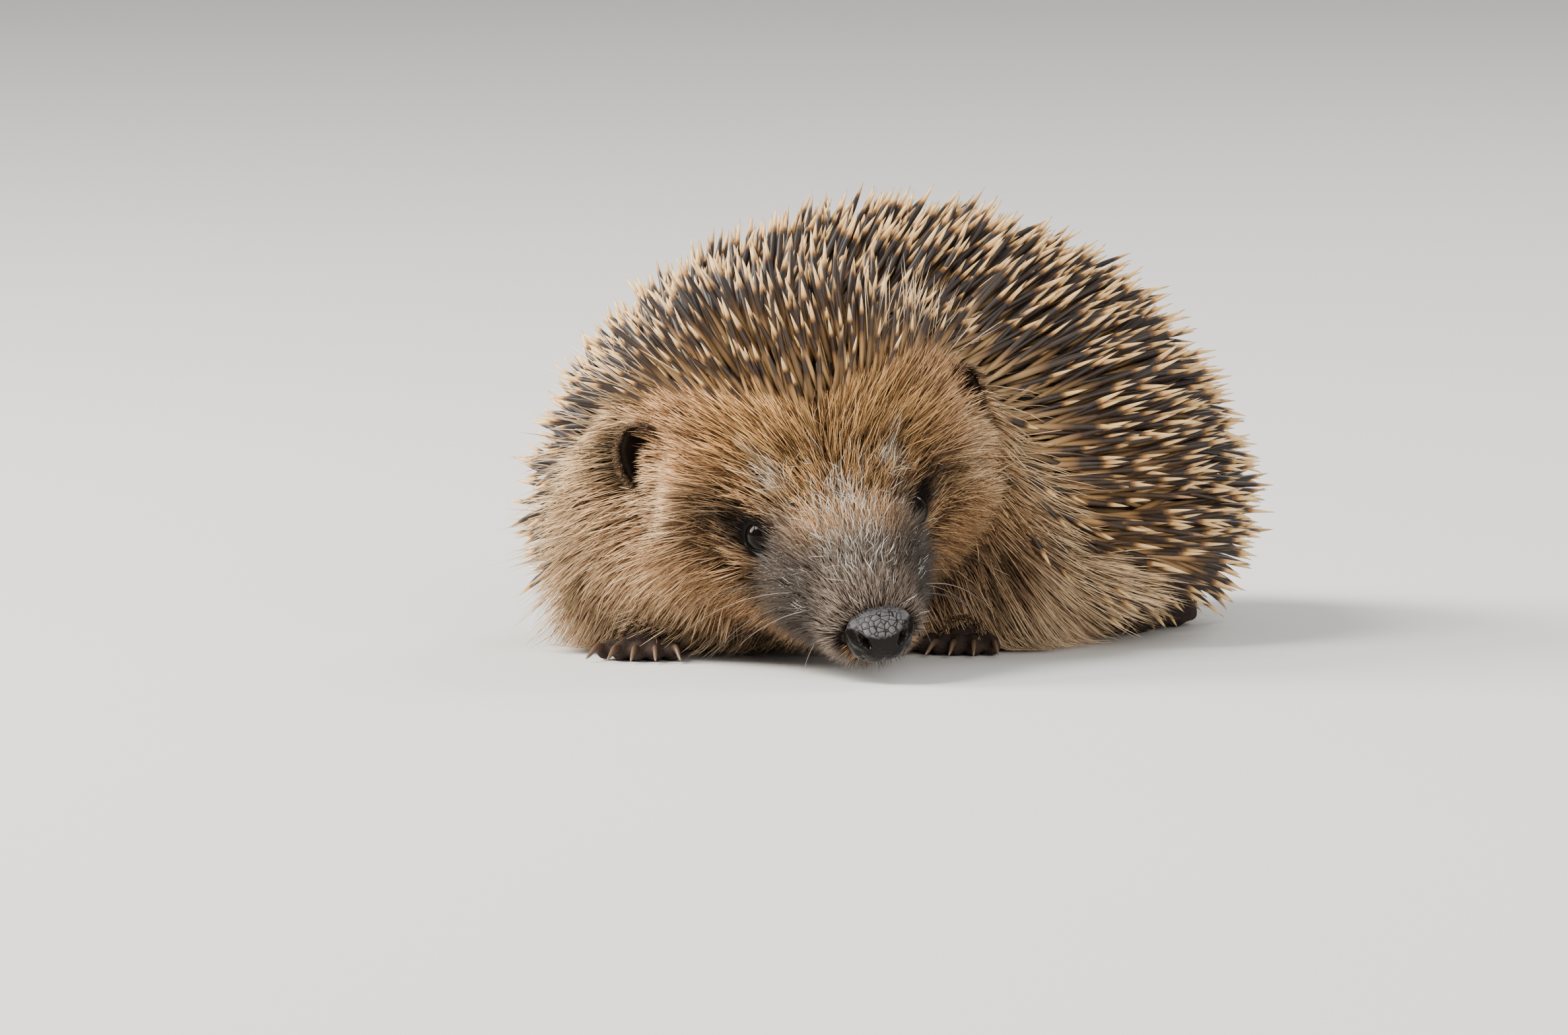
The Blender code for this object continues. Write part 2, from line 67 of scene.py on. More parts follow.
# The bare ground of an eye: its middle and half sizes from the ear line.
EYE_GROUND = ((24.7, 12.3, -1.8), (4.5, 3.7, 3.6))

EAR_PLACE = (2.0, 26.7, -1.2)
EAR_LOOK = (0.62, 0.60, 0.50)
EAR_UPRIGHT = (-0.35, 0.30, 0.90)
EAR_WIDTH = 8.8
EAR_HEIGHT = 11.6
EAR_DEPTH = 6.6
EAR_WALL = 0.9
EAR_RIM_OUT = 1.2
# The ground in front of an ear: its middle and half sizes from the ear line.
BY_EAR = ((8.2, 23.4, -2.2), (8.0, 7.0, 9.0))

NOSE_PLACE = (48.8, 0.4, -2.4)
NOSE_REACH = 5.3
NOSE_HALF_WIDTH = 5.7
NOSE_HALF_HEIGHT = 4.9

TAIL_ROOT = np.array((8.6, 62.6, 10.5))
TAIL_TURN = -16.0
TAIL_DROP = 14.0
TAIL_LENGTH = 16.4
TAIL_RADIUS = 2.1
TAIL_TAPER = 1.1

SPINE_LENGTH = 19.5
SPINE_RADIUS = 0.52
SPINE_LIFT = 31.0
# The front of the spines: an arch from ear to ear, by distance along the body, and how high on
# the side it starts, in degrees.
EAR_WHERE = 108.7
FRONT_WHERE = 125.0
EAR_EDGE = 46.0

# The skin's sections from the rump to the ears: place, turn, nod, tilt, half width, top, bottom,
# roundness above and below, and the height in degrees at which the spines begin.
BODY = (
    ((7.9, 60.5, 18.8), -20, 0, 0, 2.0, 1.5, 2.0, 2.0, 2.0, -45),
    ((7.6, 59.3, 18.8), -20, 0, 0, 9.0, 8.0, 6.0, 2.0, 2.2, -45),
    ((6.9, 55.5, 19.0), -19, 0, 0, 17.0, 15.0, 8.5, 2.0, 2.6, -44),
    ((5.9, 49.0, 19.3), -16, 0, 0, 25.0, 22.0, 10.0, 2.0, 2.9, -42),
    ((3.6, 38.0, 20.0), -12, 0, 0, 34.0, 29.0, 10.5, 2.0, 3.0, -42),
    ((0.7, 18.9, 20.0), -4, 0, 0, 41.0, 40.0, 10.5, 2.0, 3.2, -42),
    ((-0.3, -4.6, 20.0), 10, 0, 0, 41.5, 43.0, 10.5, 2.0, 3.2, -36),
    ((0.1, -24.4, 20.0), 26, 2, 0, 40.0, 39.5, 10.5, 2.05, 3.2, -22),
    ((2.8, -36.4, 21.0), 37, 7, 2, 36.0, 34.0, 10.5, 2.05, 3.0, -5),
    ((6.9, -44.6, 26.6), 42, 18, 6, 31.5, 29.0, 13.0, 2.1, 2.6, 46),
)
# The skin's sections of the head: how far ahead of the ears and above them, what is taken off
# the head's turn, nod and tilt, and the rest as above.
HEAD = (
    (10.0, -6.0, 2, 8, 1, 25.0, 15.5, 22.0, 2.1, 2.5, 100),
    (21.0, -3.5, 0, 2, 0, 15.0, 10.5, 19.0, 2.0, 2.6, 110),
    (28.0, -3.0, 0, 0, 0, 11.2, 8.8, 16.0, 2.0, 2.7, 110),
    (34.0, -2.5, 0, 0, 0, 9.2, 7.0, 12.6, 2.0, 2.6, 110),
    (41.0, -2.4, 0, 0, 0, 7.3, 5.7, 9.2, 2.0, 2.3, 110),
    (46.2, -2.3, 0, 0, 0, 6.3, 5.2, 6.2, 2.0, 2.0, 110),
    (48.0, -2.3, 0, 0, 0, 5.9, 4.9, 5.5, 2.0, 2.0, 110),
    (49.2, -2.3, 0, 0, 0, 4.9, 4.1, 4.5, 2.0, 2.0, 110),
)
# Each foot: end, side, middle of the sole, turn and the top of its leg.
LIMBS = (
    ("fore", "right", (-14.4, -56.2), 24, (-17.0, -42.4, 27.0)),
    ("fore", "left", (25.0, -18.4), 21, (18.5, -8.4, 27.0)),
    ("hind", "right", (-22.5, 40.6), -1, (-17.0, 38.1, 27.0)),
    ("hind", "left", (29.0, 32.6), -9, (21.0, 34.6, 27.0)),
)
# What the two fore limbs share, and the two hind ones.
LIMB_SIZES = {
    "fore": dict(top=7.0, ankle=3.6, half_length=6.6, half_width=4.7, height=5.3, toe=5.4,
                 toe_radius=1.6, spread=46, claw=4.4, sole_toe_root=7.0, sole_half_width=5.2),
    "hind": dict(top=8.5, ankle=3.8, half_length=11.6, half_width=4.9, height=5.9, toe=5.2,
                 toe_radius=1.65, spread=46, claw=6.0, sole_toe_root=12.0, sole_half_width=5.4),
}
TOE_COUNT = 5
# Pads: under a toe, how far along it and how wide; under a sole, how far ahead and to the side.
TOE_PADS = ((0.72, 1.35), (-0.10, 1.5))
SOLE_PADS = ((0.35, 0.55), (0.35, -0.55), (-0.35, 0.35), (-0.45, -0.4))
SOLE_PAD_RADIUS = 1.9
PAD_HEIGHT = 1.15
KNIT_SIZE = 0.42
CLAW_RADIUS = 0.8
CLAW_TIP = 0.10
CLAW_ROOT = 0.9
CLAW_CLEARANCE = 0.5
# How finely the forms are divided.
SKIN_STEP = 1.8
HEAD_RINGS = 122
SKIN_POINTS = 200
LID_POINTS = 96
EAR_POINTS = 64
EYE_RINGS, EYE_POINTS = 44, 64
NOSE_RINGS, NOSE_POINTS = 130, 220
CLAW_RINGS, CLAW_POINTS = 14, 14


def bearing(turn, nod, tilt):
    """Ahead, left and up for something turned to its left, nodding down and tilted."""
    turn, nod, tilt = (np.radians(np.asarray(v, float))[..., None] for v in (turn, nod, tilt))
    ahead = np.concatenate([np.cos(nod) * np.sin(turn), -np.cos(nod) * np.cos(turn),
                            -np.sin(nod)], axis=-1)
    level = np.concatenate([np.cos(turn), np.sin(turn), 0.0 * turn], axis=-1)
    above = np.cross(ahead, level)
    left = level * np.cos(tilt) + above * np.sin(tilt)
    up = above * np.cos(tilt) - level * np.sin(tilt)
    return ahead, left, up


HEAD_AXES = bearing(HEAD_TURN, HEAD_NOD, HEAD_TILT)


def on_head(ahead, left=0.0, above=0.0):
    """A place given from the ear line, in the head's own directions."""
    f, l, u = HEAD_AXES
    return HEAD_PLACE + f * ahead + l * left + u * above


def from_head(place):
    """How far ahead, left and above the ear line a place lies."""
    return np.stack([(place - HEAD_PLACE) @ axis for axis in HEAD_AXES], axis=-1)


def head_way(way, sign):
    """A direction given in the head's own directions, mirrored by the sign."""
    f, l, u = HEAD_AXES
    return unit(f * way[0] + l * way[1] * sign + u * way[2])


def unit(way):
    """The same direction with length one."""
    way = np.asarray(way, float)
    return way / np.maximum(np.linalg.norm(way, axis=-1, keepdims=True), 1e-9)


def smooth(value, low, high):
    """An even ease from 0 at low to 1 at high."""
    x = np.clip((value - low) / (high - low), 0.0, 1.0)
    return x * x * (3.0 - 2.0 * x)


def fading(value, low, high):
    """An even ease from 1 at low to 0 at high."""
    return 1.0 - smooth(value, low, high)


def window(value, low, full, fall, end):
    """An even ease from 0 at low to 1 at full, and from 1 at fall to 0 at end."""
    return smooth(value, low, full) * fading(value, fall, end)


def hump(value, middle, reach):
    """A soft rise, 1 at its middle and almost 0 at twice its reach."""
    return np.exp(-((value - middle) / reach)**2)


def full_turn(count):
    """Evenly spaced angles once round."""
    return np.linspace(0.0, ROUND, count, endpoint=False)


def both_sides(spot):
    """A place seen from the head, its left and right taken as one."""
    return np.stack([spot[..., 0], np.abs(spot[..., 1]), spot[..., 2]], axis=-1)


# ---------------------------------------------------------------- the skin's main form

class Loft:
    """A smooth form through sections along the body."""

    def __init__(self):
        rows = [[*place, *rest] for place, *rest in BODY]
        for ahead, above, less_turn, less_nod, less_tilt, *section in HEAD:
            rows.append([*on_head(ahead, 0.0, above), HEAD_TURN - less_turn,
                         HEAD_NOD - less_nod, HEAD_TILT - less_tilt, *section])
        self.rows = np.array(rows, float)
        step = np.linalg.norm(np.diff(self.rows[:, :3], axis=0), axis=1)
        self.along = np.concatenate([[0.0], np.cumsum(step)])
        rise = np.diff(self.rows, axis=0) / step[:, None]
        before, after = rise[:-1], rise[1:]
        inner = step[1:, None] * before + step[:-1, None] * after
        inner = inner / (step[1:] + step[:-1])[:, None]
        limit = 3.0 * np.minimum(np.abs(before), np.abs(after))
        calm = np.where(before * after > 0, np.clip(inner, -limit, limit), 0.0)
        inner[:, 6:] = calm[:, 6:]
        self.slopes = np.vstack([rise[:1], inner, rise[-1:]])

    def at(self, where):
        """The section's values at distances along the body."""
        i = np.clip(np.searchsorted(self.along, where) - 1, 0, len(self.along) - 2)
        wide = self.along[i + 1] - self.along[i]
        x = ((where - self.along[i]) / wide)[..., None]
        wide = wide[..., None]
        start, end = self.rows[i], self.rows[i + 1]
        lead, follow = self.slopes[i] * wide, self.slopes[i + 1] * wide
        return ((2 * x**3 - 3 * x**2 + 1) * start + (x**3 - 2 * x**2 + x) * lead
                + (3 * x**2 - 2 * x**3) * end + (x**3 - x**2) * follow)

    def point(self, where, angle):
        """Places on the form; the angle runs from the left side over the top."""
        v = self.at(where)
        l, u = bearing(v[..., 3], v[..., 4], v[..., 5])[1:]
        c, s = np.cos(angle), np.sin(angle)
        power = 2.0 / np.where(s >= 0.0, v[..., 9], v[..., 10])
        side = v[..., 6] * np.sign(c) * np.abs(c)**power
        high = np.where(s >= 0.0, v[..., 7], v[..., 8]) * np.sign(s) * np.abs(s)**power
        return v[..., :3] + l * side[..., None] + u * high[..., None]


def dressed(place):
    """The form with the head's softer features: mouth line, lips, brows and cheeks."""
    spot = from_head(place)
    ahead, left, above = np.moveaxis(spot, -1, 0)
    out = unit(place - (HEAD_PLACE + HEAD_AXES[0] * ahead[..., None] - HEAD_AXES[2] * 3.0))
    on_muzzle = smooth(ahead, 22.0, 27.0)
    line = -6.4 + 0.10 * (ahead - 34.0)
    groove = on_muzzle * (1.3 - 1.2 * smooth(ahead, 40.0, 44.0))
    groove = groove * hump(above, line, 0.55)
    lip = 0.7 * smooth(ahead, 30.0, 38.0) * hump(above - line, 2.2, 1.5)
    brow = 0.9 * np.exp(-((ahead - 21.0) / 4.0)**2 - ((np.abs(left) - 9.5) / 3.5)**2
                        - ((above - 6.5) / 4.0)**2)
    pads = 0.6 * np.exp(-((ahead - 42.0) / 3.0)**2 - ((np.abs(left) - 5.0) / 2.5)**2
                        - ((above + 3.5) / 2.5)**2)
    crease = 0.25 * window(ahead, 5.0, 9.0, 17.0, 20.0) * np.sin(ahead * 2.6)
    crease = crease * smooth(above, 2.0, 6.0)
    either = both_sides(spot)
    socket = 1.5 * np.exp(-(np.linalg.norm(either - np.array(EYE_PLACE), axis=-1) / 6.2)**4)
    by_ear = np.linalg.norm(either - np.array(EAR_PLACE), axis=-1)
    ear_base = 3.0 * np.exp(-(by_ear / 9.5)**4) * (left > 0.0)
    return place + out * (lip + brow + pads + crease + socket + ear_base - groove)[..., None]


class Hide:
    """The skin's form as a fine net, with its directions, from which the coat is rooted."""

    RINGS = 420
    POINTS = 240
    NETS = ("place", "out", "back", "aside", "spot", "lean", "where", "angle")

    def __init__(self, loft):
        self.length = loft.along[-1]
        where, angle = np.meshgrid(np.linspace(0.4, self.length, self.RINGS),
                                   np.linspace(0.0, ROUND, self.POINTS + 1), indexing="ij")
        self.place = dressed(loft.point(where, angle))
        back = -np.gradient(self.place, axis=0)
        round_way = np.gradient(self.place, axis=1)
        round_way[:, 0] = round_way[:, -1] = (self.place[:, 1] - self.place[:, -2]) / 2.0
        cross = np.cross(back, round_way)
        self.out = unit(cross)
        middle = self.place.mean(axis=1, keepdims=True)
        if ((self.place - middle) * self.out).sum(axis=-1).mean() < 0.0:
            self.out = -self.out
        self.back = unit(back)
        self.area = np.linalg.norm(cross, axis=-1)
        values = loft.at(where)
        rise = np.clip((where - EAR_WHERE) / (FRONT_WHERE - EAR_WHERE), 0.0, 1.1)
        edge = np.where(rise > 0.0, EAR_EDGE + (90.0 - EAR_EDGE) * rise**1.3, values[..., 11])
        self.lean = np.degrees(np.arcsin(np.clip(np.sin(angle), -1.0, 1.0))) - edge
        self.spot = from_head(self.place)
        left = bearing(values[..., 3], values[..., 4], values[..., 5])[1]
        self.aside = left * np.sign(np.cos(angle))[..., None]
        self.where = where
        self.angle = angle

    def roots(self, weight, count, draw):
        """Root places drawn over the hide, thicker where the weight is greater."""
        share = (self.area * weight)[:-1, :-1]
        total = np.cumsum(share.ravel())
        picks = (np.arange(count) + draw.random(count)) * total[-1] / count
        cell = np.searchsorted(total, picks)
        cell = np.minimum(cell, share.size - 1)
        i, j = np.unravel_index(cell, share.shape)
        a, b = draw.random(count), draw.random(count)
        found = {}
        for name in self.NETS:
            net = getattr(self, name)
            shape = (count,) + (1,) * (net.ndim - 2)
            s, t = a.reshape(shape), b.reshape(shape)
            found[name] = (net[i, j] * (1 - s) * (1 - t) + net[i + 1, j] * s * (1 - t)
                           + net[i, j + 1] * (1 - s) * t + net[i + 1, j + 1] * s * t)
        found["out"] = unit(found["out"])
        found["back"] = unit(found["back"])
        found["chart"] = np.stack([0.02 + 0.96 * found["angle"] / ROUND,
                                   0.14 + 0.84 * found["where"] / self.length], axis=-1)
        return found


# ---------------------------------------------------------------- meshes

def make_object(name, points, faces, finish=None):
    """An object of points in millimetres and faces as lists of point numbers."""
    mesh = bpy.data.meshes.new(name)
    mesh.from_pydata((np.asarray(points) * MM).tolist(), [], [list(map(int, f)) for f in faces])
    mesh.validate()
    mesh.shade_smooth()
    made = bpy.data.objects.new(name, mesh)
    bpy.context.scene.collection.objects.link(made)
    if finish:
        mesh.materials.append(finish)
    return made


def tube(rings, looped=False):
    """Points and faces of a tube through rings, drawn to a point at its ends or joined up."""
    rings = np.asarray(rings, float)
    count, around = rings.shape[:2]
    points = rings.reshape(-1, 3)
    faces = []
    for i in range(count if looped else count - 1):
        here, there = i * around, (i + 1) % count * around
        for j in range(around):
            k = (j + 1) % around
            faces.append((here + j, here + k, there + k, there + j))
    if looped:
        return points, faces
    points = np.concatenate([points, rings[:1].mean(axis=1), rings[-1:].mean(axis=1)])
    start, last = count * around, (count - 1) * around
    for j in range(around):
        k = (j + 1) % around
        faces.append((start, k, j))
        faces.append((last + j, last + k, start + 1))
    return points, faces


def joined(forms):
    """Points and faces of several forms as one."""
    points, faces, start = [], [], 0
    for form_points, form_faces in forms:
        points.append(form_points)
        faces += [tuple(number + start for number in face) for face in form_faces]
        start += len(form_points)
    return np.concatenate(points), faces


def circle(middle, side, up, half_width, half_height, count):
    """A ring of points on an ellipse."""
    angle = full_turn(count)[:, None]
    return np.asarray(middle) + np.cos(angle) * half_width * side + np.sin(angle) * half_height * up


def settle(made):
    """Applies an object's modifiers."""
    old = made.data
    graph = bpy.context.evaluated_depsgraph_get()
    made.data = bpy.data.meshes.new_from_object(made.evaluated_get(graph))
    made.modifiers.clear()
    bpy.data.meshes.remove(old)


def face_out(made):
    """Turns all faces of a closed mesh outward."""
    shape = bmesh.new()
    shape.from_mesh(made.data)
    bmesh.ops.recalc_face_normals(shape, faces=shape.faces)
    shape.to_mesh(made.data)
    shape.free()


def weld(target, parts):
    """Joins closed parts to the target in one closed skin."""
    for part in parts:
        face_out(part)
        union = target.modifiers.new("weld", "BOOLEAN")
        union.operation = "UNION"
        union.solver = "MANIFOLD"
        union.object = part
    settle(target)
    while len(target.data.materials) > 1:
        target.data.materials.pop()
    for part in parts:
        bpy.data.objects.remove(part)


def placed(made, slot, *nodes):
    """Puts a piece on the one body, in the place of the nodes named; the slot is not used."""
    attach(made, "root")
    if nodes:
        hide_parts(*nodes)


def keep(made, name, values):
    """Keeps a number or a place for each point of a mesh."""
    values = np.asarray(values, dtype=np.float32)
    kind, field = ("FLOAT", "value") if values.ndim == 1 else ("FLOAT_VECTOR", "vector")
    made.data.attributes.new(name, kind, "POINT").data.foreach_set(field, values.ravel())


# ---------------------------------------------------------------- finishes

class Term:
    """A socket of a material that takes part in plain arithmetic."""

    def __init__(self, finish, socket):
        self.finish = finish
        self.socket = socket

    def math(self, operation, *others):
        """This value and others put through one operation."""
        inputs = dict(enumerate((self, *others)))
        return self.finish.node("ShaderNodeMath", {"operation": operation}, inputs)

    def __add__(self, other):
        return self.math("ADD", other)

    def __mul__(self, other):
        return self.math("MULTIPLY", other)

    def __sub__(self, other):
        return self.math("SUBTRACT", other)

    def __rsub__(self, other):
        return (self * -1.0) + other

    __radd__ = __add__
    __rmul__ = __mul__

    def most(self, other):
        """The greater of two values."""
        return self.math("MAXIMUM", other)

    def size(self):
        """The value without its sign."""
        return self.math("ABSOLUTE")


class Finish:
    """A material and the nodes that make it."""

    def __init__(self, name):
        self.material = bpy.data.materials.new(name)
        self.material.use_nodes = True
        self.tree = self.material.node_tree
        self.tree.nodes.clear()

    def node(self, kind, settings, inputs, output=0):
        """One node: its settings first, then the values or links of its sockets."""
        made = self.tree.nodes.new(kind)
        for name, value in settings.items():
            if name == "stops":
                ramp = made.color_ramp
                while len(ramp.elements) < len(value):
                    ramp.elements.new(0.5)
                for element, (position, colour) in zip(ramp.elements, value):
                    element.position = position
                    element.color = (*colour, 1.0)
            else:
                setattr(made, name, value)
        for key, value in inputs.items():
            if isinstance(value, Term):
                self.tree.links.new(value.socket, made.inputs[key])
            else:
                made.inputs[key].default_value = value
        return Term(self, made.outputs[output])

    def here(self):
        """The shaded place, in millimetres."""
        place = self.node("ShaderNodeTexCoord", {}, {}, "Object")
        inputs = {0: place, "Scale": 1.0 / MM}
        return self.node("ShaderNodeVectorMath", {"operation": "SCALE"}, inputs)

    def kept(self, name, output="Fac"):
        """A value kept on the mesh."""
        return self.node("ShaderNodeAttribute", {"attribute_name": name}, {}, output)

    def height(self, place):
        """How high a place lies."""
        return self.node("ShaderNodeSeparateXYZ", {}, {0: place}, "Z")

    def vector(self, operation, first, second, output=0):
        """Two directions or places put through one operation."""
        inputs = {0: first, 1: second}
        return self.node("ShaderNodeVectorMath", {"operation": operation}, inputs, output)

    def mix(self, amount, first, second, blend="MIX"):
        """One colour laid over another."""
        inputs = {0: amount, 6: padded(first), 7: padded(second)}
        settings = {"data_type": "RGBA", "blend_type": blend}
        return self.node("ShaderNodeMix", settings, inputs, 2)

    def noise(self, place, size, detail=2.0):
        """Soft noise between 0 and 1 with features about as large as the size."""
        inputs = {"Vector": place, "Scale": 1.0 / size, "Detail": detail}
        return self.node("ShaderNodeTexNoise", {}, inputs)

    def ramp(self, value, stops):
        """A colour that changes with a value."""
        return self.node("ShaderNodeValToRGB", {"stops": stops}, {0: value})

    def ease(self, value, low, high):
        """An even ease from 0 at low to 1 at high."""
        settings = {"interpolation_type": "SMOOTHSTEP"}
        return self.node("ShaderNodeMapRange", settings, {0: value, 1: low, 2: high})

    def blob(self, place, middle, sizes, soft=0.35):
        """1 inside an ellipsoid and 0 outside, with a soft edge."""
        away = self.vector("SUBTRACT", place, middle)
        away = self.vector("DIVIDE", away, sizes)
        reach = self.vector("LENGTH", away, (0.0, 0.0, 0.0), "Value")
        return 1.0 - self.ease(reach, 1.0 - soft, 1.0 + soft)

    def patch(self, colour, spot, middle, sizes, soft, share, tint):
        """A tint laid over a colour inside an ellipsoid with a soft edge."""
        amount = self.blob(spot, middle, sizes, soft)
        return self.mix(amount * share if share < 1.0 else amount, colour, tint)

    def from_middle(self, place, middle):
        """How far a place lies ahead, left and above a middle, in the head's directions."""
        away = self.vector("SUBTRACT", place, tuple(middle))
        return [self.vector("DOT_PRODUCT", away, tuple(axis), "Value") for axis in HEAD_AXES]

    def head_spot(self, place):
        """The place seen from the head, its two sides alike, and how far ahead and above."""
        ahead, left, above = self.from_middle(place, HEAD_PLACE)
        spot = self.node("ShaderNodeCombineXYZ", {}, {0: ahead, 1: left.size(), 2: above})
        return spot, ahead, above

    def edges(self, place, scale, **settings):
        """How far a place lies from the edges of the cells that it is divided into."""
        inputs = {"Vector": place, "Scale": scale, **settings}
        return self.node("ShaderNodeTexVoronoi", {"feature": "DISTANCE_TO_EDGE"}, inputs)

    def bump(self, height, distance):
        """A surface relief of that height in millimetres."""
        return self.node("ShaderNodeBump", {}, {"Height": height, "Distance": distance * MM})

    def done(self, colour, roughness, gloss=None, normal=None):
        """Ends the material in a Principled surface; fixed values sit on its own sockets."""
        inputs = {"Base Color": padded(colour), "Roughness": roughness}
        if normal:
            inputs["Normal"] = normal
        if gloss:
            inputs["Specular IOR Level"] = gloss
        surface = self.node("ShaderNodeBsdfPrincipled", {}, inputs)
        end = self.tree.nodes.new("ShaderNodeOutputMaterial")
        self.tree.links.new(surface.socket, end.inputs["Surface"])
        return self.material


def padded(colour):
    """A colour with its alpha, or a term as it is."""
    return colour if isinstance(colour, Term) else (*colour, 1.0)


# ---------------------------------------------------------------- markings

GOLD = (0.86, 0.50, 0.205)
TAN = (0.86, 0.51, 0.25)
BEIGE = (1.0, 0.74, 0.44)
WARM_BROWN = (0.60, 0.37, 0.21)
OLIVE_BROWN = (0.30, 0.205, 0.120)
DARK_BROWN = (0.075, 0.052, 0.038)
DARK_GREY = (0.074, 0.061, 0.051)
GREY_BROWN = (0.36, 0.285, 0.225)
UNDER_BROWN = (0.80, 0.56, 0.36)
OFF_WHITE = (1.0, 0.95, 0.86)
PALE_BROW = (1.0, 0.80, 0.57)
PALE_TIP = (1.0, 0.80, 0.53)
HAIR_DARKER = (0.22, 0.18, 0.17)
# Painted shade: darkens the coat's colours on the skin, partly the skin's own colour and partly the
# shade between hairs.
SKIN_GAP_SHADE = (0.20, 0.17, 0.15)
UNDER_SPINES = (0.030, 0.022, 0.017)
# Painted shade: the feet near black, partly their own dark colour and partly the shade under the
# fur.
FOOT_SHADE_DARK = (0.020, 0.015, 0.013)
FOOT_SHADE_PALE = (0.052, 0.036, 0.029)
NEAR_BLACK = (0.024, 0.018, 0.015)
# Painted sheen: the pale grey of the lower lids stands in for the shine of their wet rims.
LID_SHEEN_GREY = (0.125, 0.125, 0.135)
SLATE_DARK = (0.080, 0.077, 0.082)
SLATE_PALE = (0.168, 0.163, 0.170)
WET_BLACK = (0.005, 0.0035, 0.0025)
CRACK_BLACK = (0.008, 0.006, 0.005)
# Patches of the face: middle and sizes from the ear line, softness, share and colour.
FOREHEAD = ((16.0, 4.0, 8.0), (13.0, 11.0, 8.0), 0.35, 1.0, GOLD)
BROW = ((21.4, 8.2, 5.4), (2.6, 1.6, 2.0), 0.6, 0.9, PALE_BROW)
MASK = ((19.5, 15.6, -3.2), (7.5, 4.8, 4.2), 0.55, 0.7, OLIVE_BROWN)
NOSEWARDS = ((29.5, 9.4, 0.2), (6.5, 4.4, 5.0), 0.45, 0.85, (0.40, 0.32, 0.25))
STREAK = ((35.0, 8.4, -5.2), (12.5, 6.8, 7.6), 0.32, 0.9, DARK_GREY)
SOCKET = ((23.6, 13.0, -1.4), (4.7, 4.4, 3.9), 0.35, 1.0, DARK_BROWN)
# Painted shade: near black in and round the hollow of each ear.
EAR_HOLLOW_SHADE = (EAR_PLACE, (8.5, 8.5, 8.5), 0.2, 1.0, (0.015, 0.010, 0.007))
EYE_RIM = (EYE_PLACE, (4.7, 4.7, 4.7), 0.25, 1.0, (0.0030, 0.0024, 0.0022))


def markings(finish, place):
    """The coat's ground colour by its place on the animal."""
    spot, ahead, above = finish.head_spot(place)
    wander = finish.noise(place, 7.0, 3.0)
    high = finish.height(place)
    colour = finish.mix(finish.ease(high, 9.0, 16.0), UNDER_BROWN, BEIGE)
    on_face = finish.ease(ahead + wander * 10.0, -8.0, 12.0)
    colour = finish.mix(on_face.most(finish.ease(high + wander * 6.0, 34.0, 46.0)), colour, TAN)
    colour = finish.patch(colour, spot, *FOREHEAD)
    colour = finish.patch(colour, spot, *BROW)
    chin = finish.ease(above * -1.0 + ahead * 0.25, 20.0, 28.0) * on_face
    colour = finish.mix(chin, colour, WARM_BROWN)
    colour = finish.patch(colour, spot, *MASK)
    muzzle = finish.ease(ahead + wander * 5.0, 34.0, 41.0)
    colour = finish.mix(muzzle, colour, GREY_BROWN)
    colour = finish.patch(colour, spot, *NOSEWARDS)
    colour = finish.patch(colour, spot, *STREAK)
    return finish.patch(colour, spot, *SOCKET)


def fur_finish(name, colour=None, dark_share=0.36, root_shade_share=0.05, pale_tip=0.0):
    """Hair: darker at the root, partly as painted shade deep in the coat, of one colour or by the
    place it grows from, some hairs dark, each one a little apart, and pale towards the tip where
    asked."""
    finish = Finish(name)
    along = finish.kept("along")
    tone = finish.kept("tone")
    colour = colour or markings(finish, finish.kept("root", "Vector"))
    if pale_tip:
        colour = finish.mix(finish.ease(along, 0.40, 0.95) * pale_tip, colour, PALE_TIP)
    darker = finish.mix(finish.ease(tone, 1.0 - dark_share, 1.0 - dark_share + 0.02),
                        colour, finish.mix(1.0, colour, HAIR_DARKER, "MULTIPLY"))
    level = 0.22 + finish.ease(tone, 0.0, 0.75) * 0.93
    # Painted shade: each hair darkens towards its root, partly its own colour and partly the shade
    # deep in the coat.
    shade = finish.ease(along, 0.10, 0.95) * (1.0 - root_shade_share) + root_shade_share
    shade = shade * level
    grey = finish.node("ShaderNodeCombineColor", {}, {0: shade, 1: shade, 2: shade})
    colour = finish.mix(1.0, darker, grey, "MULTIPLY")
    return finish.done(colour, 0.6, 0.10)


def spine_finish():
    """Horn spines: tan at the root, a near-black band, a cream end with a fine point."""
    finish = Finish("banded_horn")
    along = finish.kept("along")
    tone = finish.kept("tone")
    ahead = finish.from_middle(finish.kept("root", "Vector"), HEAD_PLACE)[0]
    streaks = finish.noise(finish.here(), 0.5)
    where = along + (tone - 0.5) * 0.11 + (streaks - 0.5) * 0.03
    blacker = finish.ramp(where, [
        (0.00, (0.26, 0.165, 0.080)), (0.26, (0.46, 0.295, 0.130)), (0.42, (0.20, 0.110, 0.050)),
        (0.50, (0.040, 0.026, 0.018)), (0.76, (0.022, 0.018, 0.018)), (0.80, (0.17, 0.080, 0.026)),
        (0.84, (0.66, 0.39, 0.145)), (0.95, (0.90, 0.61, 0.280)), (1.00, (0.54, 0.35, 0.170))])
    browner = finish.ramp(where, [
        (0.00, (0.24, 0.145, 0.065)), (0.30, (0.54, 0.33, 0.140)), (0.50, (0.38, 0.210, 0.085)),
        (0.60, (0.065, 0.036, 0.020)), (0.77, (0.030, 0.020, 0.015)), (0.81, (0.20, 0.095, 0.032)),
        (0.85, (0.66, 0.40, 0.160)), (0.95, (0.84, 0.58, 0.280)), (1.00, (0.50, 0.33, 0.170))])
    front = finish.ease(ahead, -10.0, 8.0)
    colour = finish.mix(front, blacker, browner)
    dark_ones = (1.0 - finish.ease(tone, 0.25, 0.55)) * (0.35 + front * 0.35)
    colour = finish.mix(dark_ones, colour, (0.035, 0.022, 0.015))
    return finish.done(colour, 0.42, 0.28)


